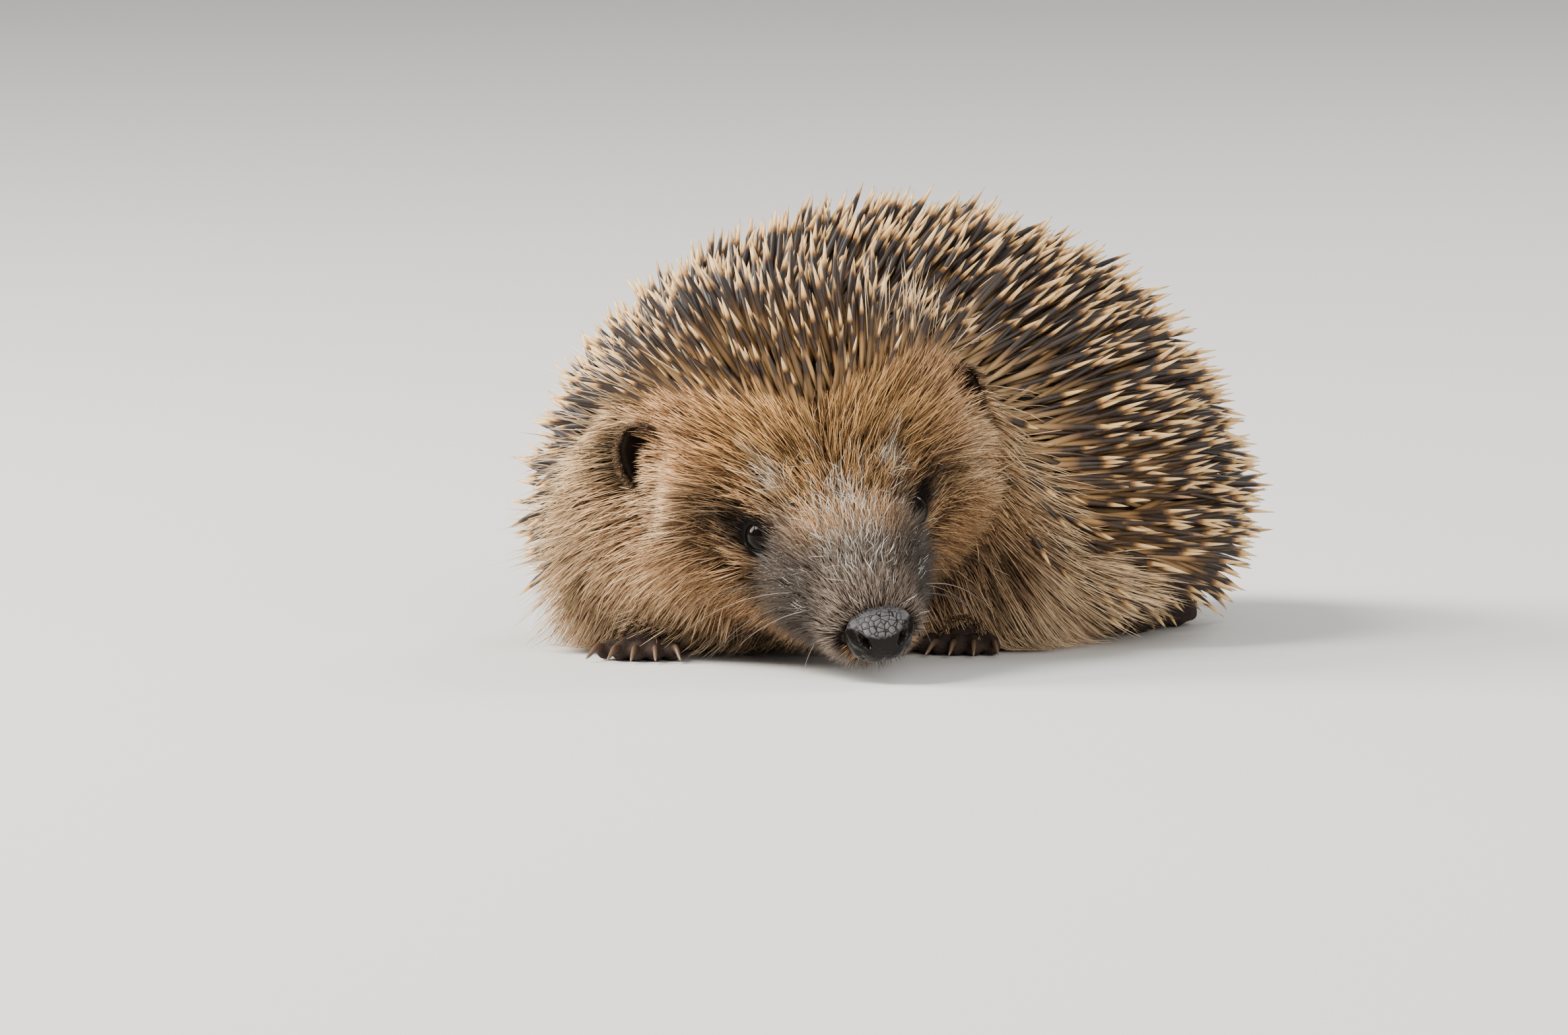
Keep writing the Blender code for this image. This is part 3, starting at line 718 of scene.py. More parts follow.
def skin_finish():
    """Bare skin: the coat's colours darkened, partly as painted shade between the hairs; dark under
    the spines and on the feet, the feet partly as painted shade; painted shade in the ears;
    fine-grained and darkly lidded, with a painted sheen on the lower lids.
    """
    finish = Finish("bare_skin")
    place = finish.here()
    spot, ahead = finish.head_spot(place)[:2]
    # Painted shade: the skin darker than the coat, partly its own colour and partly the shade in
    # the gaps between hairs.
    base = finish.mix(1.0, markings(finish, place), SKIN_GAP_SHADE, "MULTIPLY")
    high = finish.height(place)
    body = (1.0 - finish.ease(ahead, 0.0, 9.0)) * finish.ease(high, 16.0, 24.0)
    colour = finish.mix(body, base, UNDER_SPINES)
    # Painted shade on the feet: near black and mottled, partly their own colour and partly the
    # shade under the fur.
    feet = (1.0 - finish.ease(high, 7.0, 9.0)) * (1.0 - finish.ease(ahead, 24.0, 30.0))
    mottle = finish.noise(place, 1.6, 3.0)
    colour = finish.mix(feet, colour, finish.mix(mottle, FOOT_SHADE_DARK, FOOT_SHADE_PALE))
    # Painted shade: the skin near black in and round each ear's hollow.
    colour = finish.patch(colour, spot, *EAR_HOLLOW_SHADE)
    colour = finish.mix(finish.ease(ahead, 43.0, 45.5), colour, NEAR_BLACK)
    colour = finish.patch(colour, spot, *EYE_RIM)
    # Painted sheen: a pale grey crescent on the lower lid, in place of the shine of its wet rim.
    lid = finish.blob(spot, (25.0, 13.3, -4.05), (2.7, 2.7, 0.62), 0.3)
    colour = finish.mix(lid, colour, LID_SHEEN_GREY)
    relief = finish.ease(finish.edges(place, 1.7), 0.0, 0.18) * 0.6
    relief = relief + finish.noise(place, 0.35, 3.0) * 0.6
    return finish.done(colour, 0.66 - lid * 0.40, 0.04, finish.bump(relief, 0.10))


def eye_finish():
    """The wet black ball of an eye, a very dark brown within."""
    finish = Finish("wet_black_eye")
    cloud = finish.noise(finish.here(), 1.2, 3.0)
    colour = finish.mix(cloud, (0.0018, 0.0014, 0.0013), (0.006, 0.0035, 0.0026))
    return finish.done(colour, 0.04, 0.085)


def nose_finish():
    """Slate nose leather in small cracked plates above, wet and dark in front and below."""
    finish = Finish("nose_leather")
    place = finish.here()
    ahead, left, above = finish.from_middle(place, on_head(*NOSE_PLACE))
    wobble = finish.noise(place, 0.9, 2.0) - 0.5
    wet = finish.ease(above + wobble * 1.4, 3.3, 2.5)
    plates = finish.edges(place, 0.92, Randomness=0.9)
    cracks = 1.0 - finish.ease(plates, 0.02, 0.115)
    cracked = finish.ease(ahead + wobble, 0.0, 1.2) * (1.0 - wet * 0.8)
    cracked = cracked * (1.0 - finish.ease(left.size() + wobble, 4.0, 4.9))
    slate = finish.mix(finish.noise(place, 0.5, 3.0), SLATE_DARK, SLATE_PALE)
    colour = finish.mix(wet, slate, WET_BLACK)
    colour = finish.mix(cracks * cracked, colour, CRACK_BLACK)
    relief = finish.ease(plates, 0.0, 0.45) * cracked + finish.noise(place, 0.22, 2.0) * 0.16
    return finish.done(colour, 0.40 - wet * 0.26, 0.14, finish.bump(relief, 0.34))


def claw_finish():
    """Pale brown horn, darker where it leaves the toe, with fine length-wise grain."""
    finish = Finish("claw_horn")
    along = finish.kept("along")
    grain = finish.noise(finish.here(), 0.45, 3.0)
    colour = finish.ramp(along + (grain - 0.5) * 0.2, [
        (0.0, (0.04, 0.024, 0.017)), (0.35, (0.065, 0.040, 0.027)), (0.85, (0.14, 0.092, 0.060)),
        (1.0, (0.22, 0.155, 0.108))])
    return finish.done(colour, 0.34, 0.35, finish.bump(grain, 0.05))


def whisker_finish():
    """Whiskers: dark at the root, some pale towards the tip."""
    finish = Finish("whisker")
    along = finish.kept("along")
    tone = finish.kept("tone")
    pale = finish.ease(tone, 0.60, 0.75) * 0.8
    colour = finish.mix(pale, (0.030, 0.024, 0.021), (0.40, 0.34, 0.28))
    colour = finish.mix(finish.ease(along, 0.5, 1.0) * 0.3, colour, (0.24, 0.20, 0.17))
    return finish.done(colour, 0.4, 0.3)


# ---------------------------------------------------------------- skin

def eye_place(sign):
    """The middle of an eyeball, from its solid in the frame."""
    low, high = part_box("eye_left" if sign > 0 else "eye_right")
    return np.array((low + high) / 2.0) / MM - head_way(EYE_LOOK, sign) * EYE_SUNK


def eye_axes(sign):
    """Which way an eye looks, towards the nose and up."""
    outward = head_way(EYE_LOOK, sign)
    nosewards = unit(HEAD_AXES[0] - outward * (HEAD_AXES[0] @ outward))
    upright = unit(HEAD_AXES[2] - outward * (HEAD_AXES[2] @ outward)
                   - nosewards * (HEAD_AXES[2] @ nosewards))
    return outward, nosewards, upright


# The lids: degrees out from the opening and distance from the middle of the eye; then the rest of
# the ring, by degrees from the way the eye looks.
LID_FRONT = ((1.5, 2.78), (-0.8, 2.95), (0.8, 3.12), (4.5, 3.28), (9.0, 3.32), (13.0, 3.22),
             (16.0, 3.12), (19.0, 3.15), (24.0, 3.22), (31.0, 3.30), (40.0, 3.50))
LID_BACK = ((92.0, 3.9), (104.0, 4.4), (116.0, 4.6), (126.0, 4.0), (120.0, 3.0), (75.0, 2.2))
LID_OPENING = 43.0


def lid_ring(sign):
    """Both lids of an eye: a rounded lip on the ball, a fold behind it and a soft mound."""
    middle = eye_place(sign)
    outward, nosewards, upright = eye_axes(sign)
    around = full_turn(LID_POINTS)
    c, s = np.cos(around), np.sin(around)
    over = np.maximum(s, 0.0)
    opening = LID_OPENING + 7.5 * c**2 - 3.0 * over**2 + 1.0 * np.maximum(-s, 0.0)
    fold = 0.05 * np.sin(around * 11.0 + 0.6) + 0.04 * np.sin(around * 17.0)
    lines = []
    for more, radius in LID_FRONT:
        reach = radius + fold * smooth(more, 4.0, 16.0)
        lines.append((np.radians(opening + more), reach + 0.12 * over * smooth(more, 2.0, 10.0)))
    for angle, radius in LID_BACK:
        lines.append((np.full_like(around, math.radians(angle)), np.full_like(around, radius)))
    rings = []
    for bend, reach in lines:
        wide = (np.sin(bend) * reach)[:, None] * (c[:, None] * nosewards + s[:, None] * upright)
        rings.append(middle + wide + (np.cos(bend) * reach)[:, None] * outward)
    return tube(rings, looped=True)


def ear_axes(sign):
    """The way an ear opens, its width and its height."""
    opens = head_way(EAR_LOOK, sign)
    wide = unit(np.cross(head_way(EAR_UPRIGHT, sign), opens))
    return opens, wide, np.cross(opens, wide)


def ear_middle(sign):
    """The middle of an ear's opening."""
    ahead, aside, above = EAR_PLACE
    return on_head(ahead, aside * sign, above)


def ear_shell(sign):
    """A short rounded ear: a thin cup with a rolled rim and a fold inside."""
    opens, wide, high = ear_axes(sign)
    rim = ear_middle(sign) + opens * EAR_RIM_OUT
    around = full_turn(EAR_POINTS)
    uneven = 1.0 + 0.035 * np.sin(3.0 * around + 0.8) + 0.02 * np.sin(5.0 * around)
    rings = []
    for wall, turns in ((0.0, np.linspace(8.0, 92.0, 14)), (EAR_WALL, np.linspace(90.0, 12.0, 12))):
        for turn in np.radians(turns):
            back = (EAR_DEPTH - wall) * math.cos(turn)
            across = (EAR_WIDTH / 2.0 - wall) * math.sin(turn) * uneven
            tall = (EAR_HEIGHT / 2.0 - wall) * math.sin(turn) * uneven
            ring = rim - opens * back + np.outer(np.cos(around) * across, wide)
            ring = ring + np.outer(np.sin(around) * tall, high)
            if wall:
                ridge = 0.7 * math.sin(turn)**2 * hump(around, 2.6, 0.35)
                ridge = ridge + 0.5 * math.sin(2.0 * turn) * hump(around, 4.4, 0.3)
                ring = ring + np.outer(ridge, opens) + (rim - ring) * ridge[:, None] * 0.12
            rings.append(ring)
    return tube(rings)


class Limb:
    """A leg with its foot: its sizes and the ways it points."""

    def __init__(self, end, side, sole, turn, top):
        self.end, self.side, self.sole, self.top = end, side, sole, np.array(top)
        self.sizes = LIMB_SIZES[end]
        self.forward, self.left = bearing(turn, 0, 0)[:2]

    def above(self, height, ahead=0.0):
        """A place over the sole: its height, and how far ahead in half lengths of the foot."""
        return np.array([*self.sole, height]) + self.forward * self.sizes["half_length"] * ahead

    def toes(self):
        """Each toe's root, the way it points and the way across it, from the inner side."""
        sizes = self.sizes
        half = sizes["spread"] / 2.0
        for angle in np.radians(np.linspace(-half, half, TOE_COUNT)):
            way = self.forward * math.cos(angle) + self.left * math.sin(angle)
            spread = math.sin(angle) / math.sin(math.radians(half))
            root = self.above(sizes["toe_radius"] * 0.95)
            root = root + self.forward * sizes["sole_toe_root"] * (0.80 - 0.22 * spread**2)
            root = root + self.left * (sizes["sole_half_width"] - 1.0) * spread
            yield root, way, np.array([-way[1], way[0], 0.0])

    def leg(self):
        """The leg, tapering to the ankle."""
        sizes, top, ankle = self.sizes, self.top, self.above(3.6, -0.40)
        rings = []
        for t in np.linspace(0.0, 1.0, 7):
            radius = sizes["top"] + (sizes["ankle"] - sizes["top"]) * t**0.7
            rings.append(circle(top + (ankle - top) * t, self.left, self.forward, radius * 0.88,
                                radius, 24))
        return tube(rings)

    def foot(self):
        """The foot without its toes, wider in front."""
        sizes = self.sizes
        rings = []
        for level in np.linspace(0.03, 0.98, 8):
            size = math.sqrt(1.0 - abs(2.0 * level - 0.75)**3 / 2.2)
            middle = self.above(0.7 + (sizes["height"] - 0.7) * level)
            ring = circle(middle, self.forward, self.left,
                          sizes["half_length"] * size * (1.0 - 0.10 * level),
                          sizes["half_width"] * size * (1.0 - 0.22 * level), 28)
            lead = ((ring - middle) @ self.forward) / sizes["half_length"]
            rings.append(ring + np.outer(((ring - middle) @ self.left) * 0.16 * lead, self.left))
        return tube(rings)

    def toe(self, root, way, across):
        """One toe, with its knuckle and its thicker end."""
        rings = []
        for t in np.linspace(-0.45, 1.04, 9):
            knuckle = 0.55 * hump(t, 0.30, 0.28)
            size = 0.86 + 0.16 * hump(t, 0.32, 0.2) + 0.10 * hump(t, 0.78, 0.2)
            size = size * math.sqrt(max(1.0 - max(0.0, (t - 0.72) / 0.36)**2.4, 0.05))
            radius = self.sizes["toe_radius"] * size
            spot = root + way * self.sizes["toe"] * t + UP * knuckle
            rings.append(circle(spot, across, UP, radius, radius * 0.94, 16))
        return tube(rings)

    def forms(self):
        """The closed forms that make the leg and its foot: leg, sole, toes and pads."""
        forms = [self.leg(), self.foot()]
        for root, way, across in self.toes():
            forms.append(self.toe(root, way, across))
            forms += [pad(root + way * self.sizes["toe"] * t, radius) for t, radius in TOE_PADS]
        for back, aside in SOLE_PADS:
            spot = self.above(0.0, back) + self.left * self.sizes["half_width"] * aside
            forms.append(pad(spot, SOLE_PAD_RADIUS))
        return forms


def pad(middle, radius):
    """A low round cushion on the floor under a foot."""
    rings = []
    for bend in np.linspace(0.15, math.pi - 0.15, 8):
        spot = np.array((middle[0], middle[1], PAD_HEIGHT - PAD_HEIGHT * math.cos(bend)))
        size = radius * math.sin(bend)
        rings.append(circle(spot, *np.eye(3)[:2], size, size, 18))
    return tube(rings)


def build_limb(limb):
    """A leg with its foot as one smooth closed form."""
    made = make_object(f"limb_{limb.end}_{limb.side}", *joined(limb.forms()))
    face_out(made)
    knit = made.modifiers.new("knit", "REMESH")
    knit.mode = "VOXEL"
    knit.voxel_size = KNIT_SIZE * MM
    knit.use_smooth_shade = True
    ease = made.modifiers.new("ease", "SMOOTH")
    ease.factor = 0.5
    ease.iterations = 4
    settle(made)
    place = np.empty(len(made.data.vertices) * 3)
    made.data.vertices.foreach_get("co", place)
    place = place.reshape(-1, 3)
    place[:, 2] = np.maximum(place[:, 2], 0.0)
    made.data.vertices.foreach_set("co", place.ravel())
    made.data.update()
    return made


def tail_form():
    """The short tapered tail."""
    ahead, left, up = bearing(TAIL_TURN, -TAIL_DROP, 0)
    rings = []
    for t in np.linspace(-0.45, 1.0, 16):
        radius = TAIL_RADIUS - TAIL_TAPER * max(t, 0.0)
        radius = radius * math.sqrt(max(1.0 - max(0.0, (t - 0.88) / 0.12)**2, 0.06))
        rings.append(circle(TAIL_ROOT - ahead * TAIL_LENGTH * t, left, up, radius, radius, 20))
    return tube(rings)


def build_skin(loft, limbs, finish):
    """The one skin: trunk, neck and head in one form, with lids, ears, tail, legs and feet."""
    body = np.arange(0.0, 108.0, SKIN_STEP)
    head = np.linspace(EAR_WHERE, loft.along[-1], HEAD_RINGS)
    where, angle = np.meshgrid([*body, *head], full_turn(SKIN_POINTS), indexing="ij")
    skin = make_object("skin", *tube(dressed(loft.point(where, angle))), finish)
    face_out(skin)
    parts = [make_object("lids_" + side, *lid_ring(sign)) for side, sign in SIDES.items()]
    parts += [make_object("pinna_" + side, *ear_shell(sign)) for side, sign in SIDES.items()]
    parts.append(make_object("tail_form", *tail_form()))
    parts += [build_limb(limb) for limb in limbs]
    weld(skin, parts)
    skin.data.shade_smooth()
    ends = [f"{end}{part}_{side}" for end in ("fore", "hind") for part in ("leg", "foot")
            for side in ("left", "right")]
    placed(skin, "skin", "trunk", "neck", "head", "jaw", "tail", "ear_left", "ear_right", *ends)


# ---------------------------------------------------------------- eyes, nose and claws

def build_eye(side, sign, finish):
    """An eyeball with its cornea a little proud."""
    middle = eye_place(sign)
    outward, nosewards, upright = eye_axes(sign)
    rings = []
    for bend in np.linspace(0.02, math.pi - 0.02, EYE_RINGS):
        radius = EYE_RADIUS + CORNEA * hump(bend, 0.0, 0.62)
        spot = middle + outward * radius * math.cos(bend)
        size = radius * math.sin(bend)
        rings.append(circle(spot, nosewards, upright, size, size, EYE_POINTS))
    eye = make_object("eyeball_" + side, *tube(rings), finish)
    face_out(eye)
    placed(eye, "eyes", "eye_" + side)


# Lines on the nose pad, ahead, to the side and above its middle, then how wide and how deep the
# form goes in there; a negative depth stands out.
NOSTRIL = ((1.2, 3.7, 3.55, 0.22, 0.25), (1.9, 4.1, 2.9, 0.30, 0.7), (2.9, 3.8, 2.45, 0.42, 1.3),
           (3.9, 3.2, 1.8, 0.58, 2.1), (4.5, 2.6, 1.1, 0.42, 1.5))
WING = ((0.2, 4.4, 3.1, 0.55, -0.30), (0.95, 5.2, 1.75, 0.75, -0.55),
        (2.7, 4.7, 1.15, 0.60, -0.45), (4.0, 3.6, 0.8, 0.45, -0.30))
WING_FOLD = ((0.8, 5.6, 0.5, 0.22, 0.35), (2.6, 4.9, 0.15, 0.26, 0.50),
             (4.0, 3.6, 0.1, 0.24, 0.40), (3.9, 3.3, -1.7, 0.28, 0.55))
LOWER_FOLD = ((0.9, 5.4, -0.9, 0.20, 0.25), (2.2, 4.9, -1.1, 0.22, 0.30),
              (3.2, 4.3, -1.0, 0.20, 0.10))
LOBE = ((3.2, 4.2, -1.1, 0.9, -0.28), (2.9, 3.9, -2.2, 0.9, -0.20))
INNER_LOBE = ((4.7, 2.5, -0.6, 0.8, -0.22), (4.3, 2.3, -2.0, 0.8, -0.15))
NOSE_LINES = (NOSTRIL, WING, WING_FOLD, LOWER_FOLD, LOBE, INNER_LOBE)


def drawn_in(spot, line):
    """How far one line takes the form in, at places on the pad; both sides are alike."""
    sides = both_sides(spot)
    line = np.array(line)
    deepest = np.zeros(spot.shape[:-1])
    for start, end in zip(line[:-1], line[1:]):
        way = end[:3] - start[:3]
        t = np.clip(((sides - start[:3]) @ way) / (way @ way), 0.0, 1.0)
        gap = np.linalg.norm(sides - start[:3] - t[..., None] * way, axis=-1)
        width = start[3] + (end[3] - start[3]) * t
        deep = (start[4] + (end[4] - start[4]) * t) * hump(gap, 0.0, width)
        deepest = np.where(np.abs(deep) > np.abs(deepest), deep, deepest)
    return deepest


def build_nose(finish):
    """The bare nose pad: a broad bulb with a curled nostril in each side."""
    middle = on_head(*NOSE_PLACE)
    half_sizes = np.array((NOSE_REACH, NOSE_HALF_WIDTH, NOSE_HALF_HEIGHT))
    rings = []
    around = full_turn(NOSE_POINTS)
    c, s = np.cos(around), np.sin(around)
    for bend in np.radians(np.linspace(1.0, 122.0, NOSE_RINGS)):
        ahead = NOSE_REACH * np.sign(math.cos(bend)) * abs(math.cos(bend))**0.86
        wide = math.sin(bend)**0.9
        left = NOSE_HALF_WIDTH * wide * np.sign(c) * np.abs(c)**0.94
        above = NOSE_HALF_HEIGHT * wide * np.sign(s) * np.abs(s)**0.94
        spot = np.stack([np.full_like(c, ahead), left, above], axis=-1)
        out = unit(spot / half_sizes**2)
        inward = 0.30 * hump(left, 0.0, 0.45)
        inward = inward * smooth(-above, 0.5, 3.0) * smooth(ahead, 0.0, 2.0)
        for line in NOSE_LINES:
            inward = inward + drawn_in(spot, line)
        spot = spot - out * inward[..., None]
        rings.append(middle + spot @ np.stack(HEAD_AXES))
    nose = make_object("nose_pad", *tube(rings), finish)
    face_out(nose)
    placed(nose, "nose_pad", "nose")


def build_claws(limb, finish):
    """The five curved claws of a foot, each in front of its toe."""
    sizes = limb.sizes
    steps = np.linspace(0.0, 1.0, CLAW_RINGS)
    forms = []
    for root, way, across in limb.toes():
        start = root + way * (sizes["toe"] - CLAW_ROOT)
        start[2] = sizes["toe_radius"] * 1.05 + 0.35
        fall = start[2] - CLAW_CLEARANCE - 0.2
        rings = []
        for t in steps:
            rise = 0.45 * math.sin(math.pi * min(t * 1.3, 1.0))
            spot = start + way * (sizes["claw"] + CLAW_ROOT) * t - UP * (fall * t**1.9 - rise)
            radius = CLAW_RADIUS * (1.0 - t)**0.62 + CLAW_TIP
            rings.append(circle(spot, across, UP, radius * 0.68, radius * 0.92, CLAW_POINTS))
        forms.append(tube(rings))
    claws = make_object(f"{limb.end}claws_{limb.side}", *joined(forms), finish)
    keep(claws, "along", np.tile([*np.repeat(steps, CLAW_POINTS), 0.0, 1.0], TOE_COUNT))
    face_out(claws)
    numbers = range(1, TOE_COUNT + 1)
    placed(claws, "claws", *[f"{limb.end}claw_{limb.side}_{number}" for number in numbers])


# ---------------------------------------------------------------- coat

PATCH = 0.003
LOWEST = 0.35
ROOT_DEPTH = 0.25
# How far along each ring of a hair lies and its share of the hair's width.
TAPERED = ((0.0, 0.75), (0.35, 1.0), (0.72, 0.72))
STRAIGHT = ((0.0, 0.8), (0.5, 0.85))
WAVY = ((0.0, 0.8), (0.28, 1.0), (0.56, 0.9), (0.80, 0.7))
SPINY = ((0.0, 0.55), (0.08, 0.80), (0.35, 1.0), (0.72, 0.98), (0.82, 0.76), (0.92, 0.40))
# Each piece of fur on the hide: its seed and its number of hairs.
FUR = {
    "fur_muzzle": (21, 13000), "fur_face": (22, 7800), "fur_jowls": (25, 5500),
    "fur_pale": (23, 1900), "fur_forehead": (24, 5600), "fur_belly": (61, 4500),
    "fur_cheek_left": (31, 7000), "fur_cheek_right": (32, 7000),
    "fur_skirt_left": (41, 9000), "fur_skirt_right": (42, 9000),
    "fur_ruff_left": (51, 800), "fur_ruff_right": (52, 450),
}
# The spines: seed, how many roots are tried, and the pieces by distance along the body.
SPINE_SEED = 15
SPINE_TRIES = 22000
SPINE_PIECES = (("spines_crown", 90.0, 200.0), ("spines_shoulders", 68.0, 90.0),
                ("spines_back", 42.0, 68.0), ("spines_rump", 0.0, 42.0))
# Seeds and numbers of the hairs that grow elsewhere.
LIMB_SEED, LEG_HAIRS, FOOT_HAIRS, TAIL_HAIRS = 71, 1100, 350, 500
BRISTLE_SEED, BRISTLES = 26, 120
EAR_SEED, EAR_HAIRS = 81, 1500
WHISKER_SEED = 91


def hair_lie(roots, draw, sideways, down, stray):
    """Which way hairs lie at their roots: back, with a share to the side and down."""
    out, back = roots["out"], roots["back"]
    flat = back - out * (back * out).sum(axis=-1, keepdims=True)
    aside = roots["aside"] - out * (roots["aside"] * out).sum(axis=-1, keepdims=True)
    fall = DOWN + out * out[:, 2:3]
    lie = unit(unit(flat) + column(sideways) * unit(aside) + column(down) * fall)
    cross = np.cross(out, lie)
    turn = np.radians(draw.normal(0.0, 1.0, len(out)) * stray)[:, None]
    return unit(lie * np.cos(turn) + cross * np.sin(turn))


def column(value):
    """A number, or one number a root, ready to scale directions."""
    value = np.asarray(value, float)
    return value if value.ndim == 0 else value[:, None]


def tree_of(places):
    """A tree that finds the nearest of many places."""
    tree = kdtree.KDTree(len(places))
    for number, place in enumerate(places):
        tree.insert(Vector(place), number)
    tree.balance()
    return tree


def gathered(tips, roots, share, each, draw):
    """How far hair tips are drawn to the tips of a few leading hairs, and each one's leader."""
    leaders = np.arange(0, len(tips), each)
    tree = tree_of(roots[leaders])
    nearest = np.array([tree.find(Vector(root))[1] for root in roots])
    away = roots - roots[leaders[nearest]]
    pull = tips[leaders[nearest]] - tips + away * 0.25
    reach = np.linalg.norm(away, axis=-1)
    strength = share * draw.uniform(0.5, 1.0, len(tips)) * fading(reach, 3.0, 6.0)
    return pull * strength[:, None], nearest


def grow(name, finish, roots, draw, length, width, lift, end_lift, sideways=0.0, down=0.0,
         stray=12.0, sag=0.0, curl=0.0, turns=0.0, gather=0.0, each=14, profile=TAPERED, sides=3,
         slot="fur"):
    """Many hairs or spines in one closed mesh, each of them ending in a point."""
    count = len(roots["place"])
    length = np.broadcast_to(length, count) * draw.uniform(0.82, 1.15, count)
    width = np.broadcast_to(width, count) * draw.uniform(0.8, 1.2, count)
    lift = np.radians(np.broadcast_to(lift, count) + draw.normal(0.0, 1.0, count) * stray * 0.5)
    bend = np.radians(np.broadcast_to(end_lift, count) + draw.normal(0.0, 1.0, count) * stray * 0.5)
    lie = hair_lie(roots, draw, sideways, down, stray)
    out = roots["out"]
    first = lie * np.cos(lift)[:, None] + out * np.sin(lift)[:, None]
    last = lie * np.cos(bend)[:, None] + out * np.sin(bend)[:, None]
    last = unit(last + DOWN * column(sag))
    along = np.array([share for share, size in profile] + [1.0])
    size = np.array([size for share, size in profile] + [0.0])
    t = along[None, :, None]
    start = roots["place"] - out * ROOT_DEPTH
    run = first[:, None] * (t - t * t / 2.0) + last[:, None] * (t * t / 2.0)
    line = start[:, None] + run * length[:, None, None]
    if curl:
        across, phase = unit(np.cross(first, out)), draw.uniform(0.0, ROUND, count)
        over = np.cross(first, across)
        wave = phase[:, None] + ROUND * turns * draw.uniform(0.7, 1.3, count)[:, None] * along
        rise = smooth(along, 0.0, 0.4) * curl * draw.uniform(0.4, 1.4, count)[:, None]
        line = line + across[:, None] * (np.sin(wave) * rise)[..., None]
        line = line + over[:, None] * (np.cos(wave) * rise * 0.6)[..., None]
    tone = draw.random(count)
    if gather:
        pull, leader = gathered(line[:, -1], roots["place"], gather, each, draw)
        line = line + pull[:, None] * t**1.4
        tone = tone * 0.55 + draw.random(count)[leader] * 0.45
    line[..., 2] = np.maximum(line[..., 2], LOWEST + 0.3 * draw.random(count)[:, None])
    way = unit(np.gradient(line, axis=1))
    across = unit(np.cross(way, out[:, None]))
    over = np.cross(across, way)
    rings = len(along) - 1
    turn = (ROUND * np.arange(sides) / sides + math.pi / 2.0)[:, None]
    radius = (width[:, None] / 2.0 * size[None, :rings])[..., None, None]
    ring = across[:, :rings, None] * np.cos(turn) + over[:, :rings, None] * np.sin(turn)
    points = np.concatenate([(line[:, :rings, None] + ring * radius).reshape(count, -1, 3),
                             line[:, -1:]], axis=1)
    each_points = rings * sides + 1
    corners, chart, sizes = hair_faces(rings, sides, along)
    made = joined_mesh(name, points, corners, sizes, each_points)
    corner = np.repeat(roots["chart"] - PATCH / 2.0, len(chart), axis=0)
    spread = np.tile(chart, (count, 1)) * PATCH + corner
    made.data.uv_layers.new(name="OFBake").data.foreach_set("uv", spread.astype(np.float32).ravel())
    share = np.append(np.repeat(along[:rings], sides), 1.0)
    keep(made, "along", np.tile(share, count))
    keep(made, "tone", np.repeat(tone, each_points))
    keep(made, "root", np.repeat(roots["place"], each_points, axis=0))
    made.data.materials.append(finish)
    placed(made, slot)


def hair_faces(rings, sides, along):
    """Corner numbers of one hair's faces, their places in its patch, and the faces' sizes."""
    corners, chart, sizes = [], [], []
    tip = rings * sides

    def corner(ring, side):
        corners.append(tip if ring == rings else ring * sides + side % sides)
        chart.append((side / sides, along[ring]))

    for side in reversed(range(sides)):
        corner(0, side)
    sizes.append(sides)
    for ring in range(rings):
        for side in range(sides):
            corner(ring, side)
            corner(ring, side + 1)
            if ring < rings - 1:
                corner(ring + 1, side + 1)
            corner(ring + 1, side)
            sizes.append(4 if ring < rings - 1 else 3)
    return np.array(corners), np.array(chart), np.array(sizes)


def joined_mesh(name, points, corners, sizes, each_points):
    """One mesh of many like shapes."""
    count = len(points)
    mesh = bpy.data.meshes.new(name)
    mesh.vertices.add(count * each_points)
    mesh.vertices.foreach_set("co", (points * MM).astype(np.float32).ravel())
    index = (corners[None] + np.arange(count)[:, None] * each_points).ravel()
    mesh.loops.add(len(index))
    mesh.loops.foreach_set("vertex_index", index.astype(np.int32))
    sizes = np.tile(sizes, count)
    mesh.polygons.add(len(sizes))
    starts = np.concatenate([[0], np.cumsum(sizes)[:-1]])
    mesh.polygons.foreach_set("loop_start", starts.astype(np.int32))
    mesh.update(calc_edges=True)
    mesh.shade_smooth()
    made = bpy.data.objects.new(name, mesh)
    bpy.context.scene.collection.objects.link(made)
    return made


def near(spot, middle, sizes, soft=0.35):
    """1 inside an ellipsoid on either side of the head, and 0 outside, with a soft edge."""
    reach = np.linalg.norm((both_sides(spot) - np.array(middle)) / np.array(sizes), axis=-1)
    return fading(reach, 1.0 - soft, 1.0 + soft)


def beside_ear(place):
    """How far places lie from the line of an ear's opening; 1 is its rim."""
    least = np.full(place.shape[:-1], 9.0)
    for sign in SIDES.values():
        opens, wide, high = ear_axes(sign)
        away = place - ear_middle(sign)
        reach = np.hypot(away @ wide / (EAR_WIDTH / 2.0), away @ high / (EAR_HEIGHT / 2.0))
        least = np.minimum(least, np.where(away @ opens > -10.0, reach, 9.0))
    return least


def open_ground(hide):
    """Where hair may root: not on the eyes nor in the ears."""
    eyes = near(hide.spot, *EYE_GROUND, 0.10)
    return (1.0 - eyes) * smooth(beside_ear(hide.place), 0.92, 1.10)


